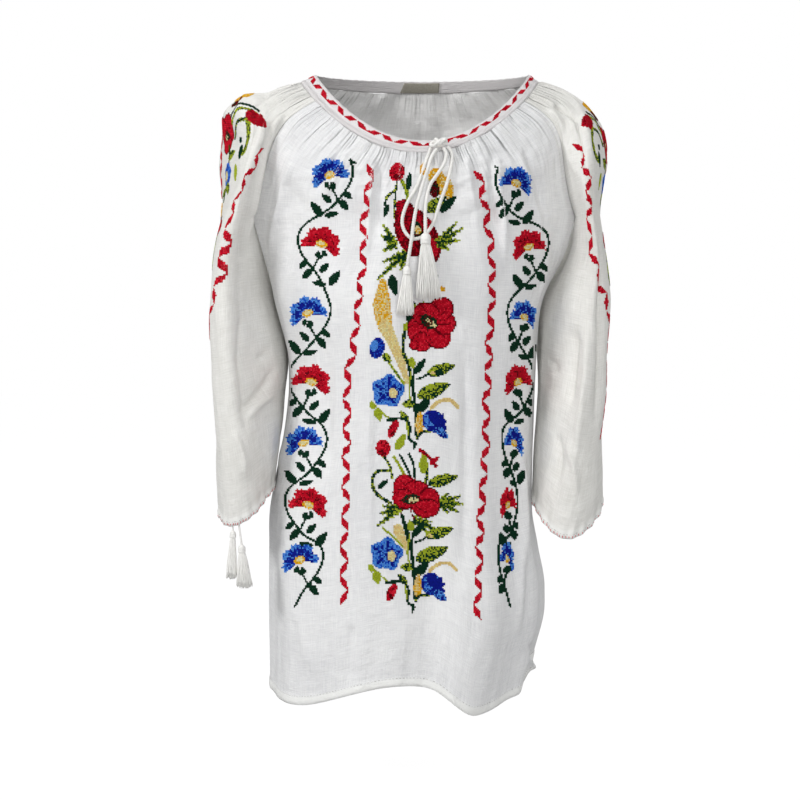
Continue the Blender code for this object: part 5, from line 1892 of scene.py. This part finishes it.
def linen(name, light, shade, gathered=1.0):
    """Plain-woven linen: uneven threads, a faint wash of tone, and fine gathers under the neckband."""
    material, tree, shader = new_finish(name, 0.9, 0.03)
    uv = node(tree, "ShaderNodeUVMap", uv_map="cloth").outputs["UV"]
    split = node(tree, "ShaderNodeSeparateXYZ", {"Vector": uv})
    across, down = split.outputs["X"], split.outputs["Y"]
    threads = maths(tree, "ADD", noise(tree, uv, (1250, 40, 1)), noise(tree, uv, (40, 1250, 1)))
    threads = maths(tree, "MULTIPLY", threads, 0.5)
    wash = noise(tree, uv, (11, 8, 1), 4.0)
    tone = maths(tree, "ADD", threads, maths(tree, "MULTIPLY", wash, 0.45))
    colour = ramp_node(tree, tone, ((0.58, shade), (0.86, light))).outputs["Color"]
    if gathered:
        hem = node(tree, "ShaderNodeAttribute", attribute_name="hem").outputs["Fac"]
        sockets = {"Factor": maths(tree, "MULTIPLY", hem, 0.75), 6: colour, 7: (*HEM_COLOUR, 1)}
        colour = node(tree, "ShaderNodeMix", sockets, data_type="RGBA").outputs[2]
    tree.links.new(colour, shader.inputs["Base Color"])
    waves = [maths(tree, "SINE", maths(tree, "MULTIPLY", axis, WEAVE_RADIANS)) for axis in (across, down)]
    relief = bump(tree, maths(tree, "MULTIPLY", waves[0], waves[1]), 0.25, 0.0001)
    relief = bump(tree, threads, 0.9, 0.0009, relief)
    relief = bump(tree, noise(tree, uv, (60, 85, 1), 5.0), 0.6, 0.0030, relief)
    if gathered:
        fine = maths(tree, "MULTIPLY", noise(tree, uv, (150, 9, 1), 1.0), fading(tree, down, 0.004, 0.055))
        relief = bump(tree, fine, gathered, 0.0060, relief)
        broad = maths(tree, "MULTIPLY", noise(tree, uv, (55, 4, 1), 2.0), fading(tree, down, 0.01, 0.14))
        relief = bump(tree, broad, gathered, 0.0070, relief)
        hanging = noise(tree, uv, (34, 2.2, 1), 2.0)
        relief = bump(tree, hanging, gathered, 0.0040, relief)
    tree.links.new(relief, shader.inputs["Normal"])
    return material


def embroidery_thread():
    """Stranded cotton: its colour is each stitch's own, with a soft gloss along the twist."""
    material, tree, shader = new_finish("stranded_cotton", 0.7, 0.0)
    shader.inputs["Specular IOR Level"].default_value = 0.06
    colour = node(tree, "ShaderNodeVertexColor", layer_name="thread_colour").outputs["Color"]
    place = node(tree, "ShaderNodeTexCoord").outputs["Object"]
    strands = noise(tree, place, (1, 1, 1), 2.0, 2600.0)
    tint = ramp_node(tree, strands, ((0.3, (0.70, 0.70, 0.70)), (0.6, (1, 1, 1))))
    sockets = {"Factor": 1.0, 6: colour, 7: tint.outputs["Color"]}
    mixed = node(tree, "ShaderNodeMix", sockets, data_type="RGBA", blend_type="MULTIPLY")
    tree.links.new(mixed.outputs[2], shader.inputs["Base Color"])
    tree.links.new(bump(tree, strands, 0.4, 0.0002), shader.inputs["Normal"])
    return material


def cotton(name, light, shade, scale):
    """Soft white cotton cord or strand, with fibres that catch the light."""
    material, tree, shader = new_finish(name, 0.8, 0.1)
    place = node(tree, "ShaderNodeTexCoord").outputs["Object"]
    fibres = noise(tree, place, (1, 1, 0.25), 4.0, scale)
    colour = ramp_node(tree, fibres, ((0.3, shade), (0.65, light)))
    tree.links.new(colour.outputs["Color"], shader.inputs["Base Color"])
    tree.links.new(bump(tree, fibres, 0.5, 0.0004), shader.inputs["Normal"])
    return material


def dress(made, material):
    """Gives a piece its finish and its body."""
    made.data.materials.clear()
    made.data.materials.append(material)
    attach(made, "root")


# The whole blouse


def mixed_for_camera(tree, share, others, seen, output):
    """Shows the camera `share` of the `seen` shader, and gives every other ray the plain one."""
    ray = node(tree, "ShaderNodeLightPath").outputs["Is Camera Ray"]
    mix = node(tree, "ShaderNodeMixShader", {0: maths(tree, "MULTIPLY", ray, share), 1: others, 2: seen})
    tree.links.new(mix.outputs[0], output.inputs["Surface"])


Lamp = namedtuple("Lamp", "name place size power")
LAMPS = rows_of(
    Lamp,
    ("key", (-2.3, -1.5, 1.3), 0.8, 40),
    ("front", (0.4, -2.8, 0.35), 0.9, 20),
    ("top", (0.2, -1.0, 2.2), 1.0, 13),
    ("rear", (1.2, 2.4, 1.2), 2.0, 30),
)
AMBIENT = 0.42
LIT_PLACE = (0, 0, -0.35)
FLOOR_SIZE = 14
FLOOR_HEIGHT = -0.80
FLOOR_GREY = (0.60, 0.60, 0.60, 1)
FLOOR_GLOW = 1.12
FLOOR_GLOW_SHARE = 0.86


def make_light():
    """A soft studio: even light from all round, a key lamp from the left, and a lamp behind."""
    world = bpy.data.worlds.new("studio")
    bpy.context.scene.world = world
    world.use_nodes = True
    tree = world.node_tree
    even = tree.nodes["Background"]
    even.inputs["Color"].default_value = (0.98, 0.99, 1, 1)
    even.inputs["Strength"].default_value = AMBIENT
    white = node(tree, "ShaderNodeBackground", {"Color": (1, 1, 1, 1), "Strength": 1.0})
    mixed_for_camera(tree, 1.0, even.outputs[0], white.outputs[0], tree.nodes["World Output"])
    for lamp in LAMPS:
        bpy.ops.object.light_add(type="AREA", location=lamp.place)
        light = bpy.context.object
        light.name = lamp.name
        light.data.size = lamp.size
        light.data.energy = lamp.power
        towards = Vector(LIT_PLACE) - Vector(lamp.place)
        light.rotation_mode = "QUATERNION"
        light.rotation_quaternion = towards.to_track_quat("-Z", "Y")
    bpy.context.scene.view_settings.view_transform = "Standard"


def make_floor():
    """A broad white floor that fades into the white behind it."""
    bpy.ops.mesh.primitive_plane_add(size=FLOOR_SIZE, location=(0, 0, FLOOR_HEIGHT))
    floor = bpy.context.object
    floor.name = "floor"
    material, tree, shader = new_finish("pale_floor", 0.9, 0.0)
    shader.inputs["Base Color"].default_value = FLOOR_GREY
    white = node(tree, "ShaderNodeEmission", {"Color": (1, 1, 1, 1), "Strength": FLOOR_GLOW})
    output = tree.nodes["Material Output"]
    mixed_for_camera(tree, FLOOR_GLOW_SHARE, shader.outputs[0], white.outputs[0], output)
    floor.data.materials.append(material)


# Stitching: how far in from the edge, how many stitches, and how far each one reaches
HEM_STITCH_IN = 0.001
HEM_STITCHES = 120
HEM_STITCH_REACH = 0.010
CUFF_STITCHES = 64
CUFF_EDGE_IN = 0.0035


def sew(front, back, left, right, thread):
    """Hem and cuff stitching in white, and the red stitches on the cuffs' edges."""
    arm_points = []
    shades = []
    hem = 2 - (HEM_WIDTH + HEM_STITCH_IN) / (HEM_DEEPEST - ARMPIT_DROP)
    for facing, made in ((1, front), (-1, back)):
        at = np.linspace(-0.985, 0.985, HEM_STITCHES)
        line = sewn_line(
            lambda a, v: body_panel_point(facing, a, v),
            facing,
            (-1, 1),
            (at, hem),
            (at + HEM_STITCH_REACH, hem),
            tree_of(made),
        )
        arm_points.append(line)
        shades += [SHADE["white"]] * len(line)
    for side, made in ((-1, left), (1, right)):
        at = np.linspace(0, 1, CUFF_STITCHES, endpoint=False)
        edge = 2 - CUFF_EDGE_IN / (LEFT_CUFF.front - ARMPIT_DROP)
        tree = tree_of(made)
        for start, end, lean, name in (
            (hem + 0.004, hem + 0.004, 0.009, "white"),
            (edge, 1.998, 0.003, "bright_red"),
        ):
            line = sewn_line(
                lambda a, v: sleeve_panel_point(side, a % 1, v),
                side,
                (-1, 2),
                (at, start),
                (at + lean, end),
                tree,
            )
            arm_points.append(line)
            shades += [SHADE[name]] * len(line)
    return ridges("hem_stitching", np.concatenate(arm_points), shades, (ARM_FACES,), thread)


def main():
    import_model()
    make_camera()
    make_light()
    make_floor()
    body_linen = linen("white_linen", (0.88, 0.88, 0.875), (0.74, 0.74, 0.75))
    back_linen = linen("back_linen", (0.90, 0.895, 0.88), (0.77, 0.76, 0.75), 0.45)
    sleeve_linen = linen("ivory_linen", (0.88, 0.87, 0.835), (0.74, 0.73, 0.69))
    band_linen = linen("band_linen", (0.89, 0.86, 0.86), (0.83, 0.80, 0.80), gathered=0)
    cord_cotton = cotton("cord_cotton", (0.92, 0.91, 0.88), (0.80, 0.79, 0.76), 900.0)
    tape = cotton("woven_tape", (0.40, 0.38, 0.32), (0.26, 0.24, 0.20), 1500.0)
    thread = embroidery_thread()

    front = body_panel("front_cloth", 1, *FRONT_GRID)
    back = body_panel("back_cloth", -1, *BACK_GRID)
    left = sleeve("sleeve_left_cloth", -1, *SLEEVE_GRID)
    right = sleeve("sleeve_right_cloth", 1, *SLEEVE_GRID)
    band = neckband()
    tag = label()
    for made, finish, slot, replaced in (
        (front, body_linen, "linen", "front"),
        (back, back_linen, "linen", "back"),
        (left, sleeve_linen, "linen", "sleeve_left"),
        (right, sleeve_linen, "linen", "sleeve_right"),
        (band, band_linen, "band_linen", "neckband"),
        (tag, tape, "woven_tape", "label"),
    ):
        dress(made, finish)
        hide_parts(replaced)

    tree = tree_of(front, band)
    routes = {"cord_left": LEFT_CORD, "cord_right": RIGHT_CORD, "cord_loop": BOW_LOOP}
    cords = {}
    for name, route in routes.items():
        path = route_path(route, tree)
        cord = twisted(name + "_cotton", path, CORD_RADIUS * CORD_FULLNESS, cord_cotton)
        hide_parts(name)
        cords[name] = cord, path
    knot = wound("neck_knot_cotton", cord_cotton)
    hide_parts("neck_knot")
    for number, spec in enumerate(NECK_TASSELS, 1):
        y = hanging_y(tree, spec, ((-0.002, 0), (0, 0), (0.002, 0)))
        name = f"neck_tassel_{number}"
        tassel(name + "_cotton", spec, y, cord_cotton, number)
        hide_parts(name)
    for number, spec in enumerate(CUFF_TASSELS, 1):
        name = f"cuff_tassel_{number}"
        low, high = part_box(name)
        middle_y = (low[1] + high[1]) / 2
        tassel(name + "_cotton", spec, middle_y, cord_cotton, 10 + number, high[2])
        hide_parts(name)

    for name, tassel_name, far_end in (
        ("cord_left", "neck_tassel_1", "fitting"),
        ("cord_right", "neck_tassel_2", "fitting"),
        ("cord_loop", None, "object"),
    ):
        cord, path = cords[name]
        float(travelled(path)[-1])

    front_tree = tree_of(front)

    def on_front(x, y):
        return seen_on(front_tree, x, y)

    left_vine = Chart(*LEFT_VINE_AREA)
    vine(left_vine, LEFT_VINE, *LEFT_VINE_ENDS)
    zigzag(left_vine, LEFT_ZIGZAG)
    right_vine = Chart(*RIGHT_VINE_AREA)
    vine(right_vine, RIGHT_VINE, *RIGHT_VINE_ENDS)
    zigzag(right_vine, RIGHT_ZIGZAG)
    bouquet = Chart(*BOUQUET_AREA)
    centre_column(bouquet)
    cross_stitch("vine_embroidery_left", [(left_vine, on_front)], thread)
    cross_stitch("vine_embroidery_right", [(right_vine, on_front)], thread)
    cross_stitch("bouquet_embroidery", [(bouquet, on_front)], thread)
    left_cloth = SleeveCloth(-1, left)
    right_cloth = SleeveCloth(1, right)
    sleeve_charts = [
        (sleeve_chart(left_cloth, LEFT_SLEEVE_ZIGZAG), left_cloth),
        (sleeve_chart(right_cloth, RIGHT_SLEEVE_ZIGZAG), right_cloth),
    ]
    cross_stitch("sleeve_embroidery", sleeve_charts, thread)
    length, on_band = band_map(band)
    cross_stitch("band_embroidery", [(band_chart(length), on_band)], thread)
    sew(front, back, left, right, thread)


main()
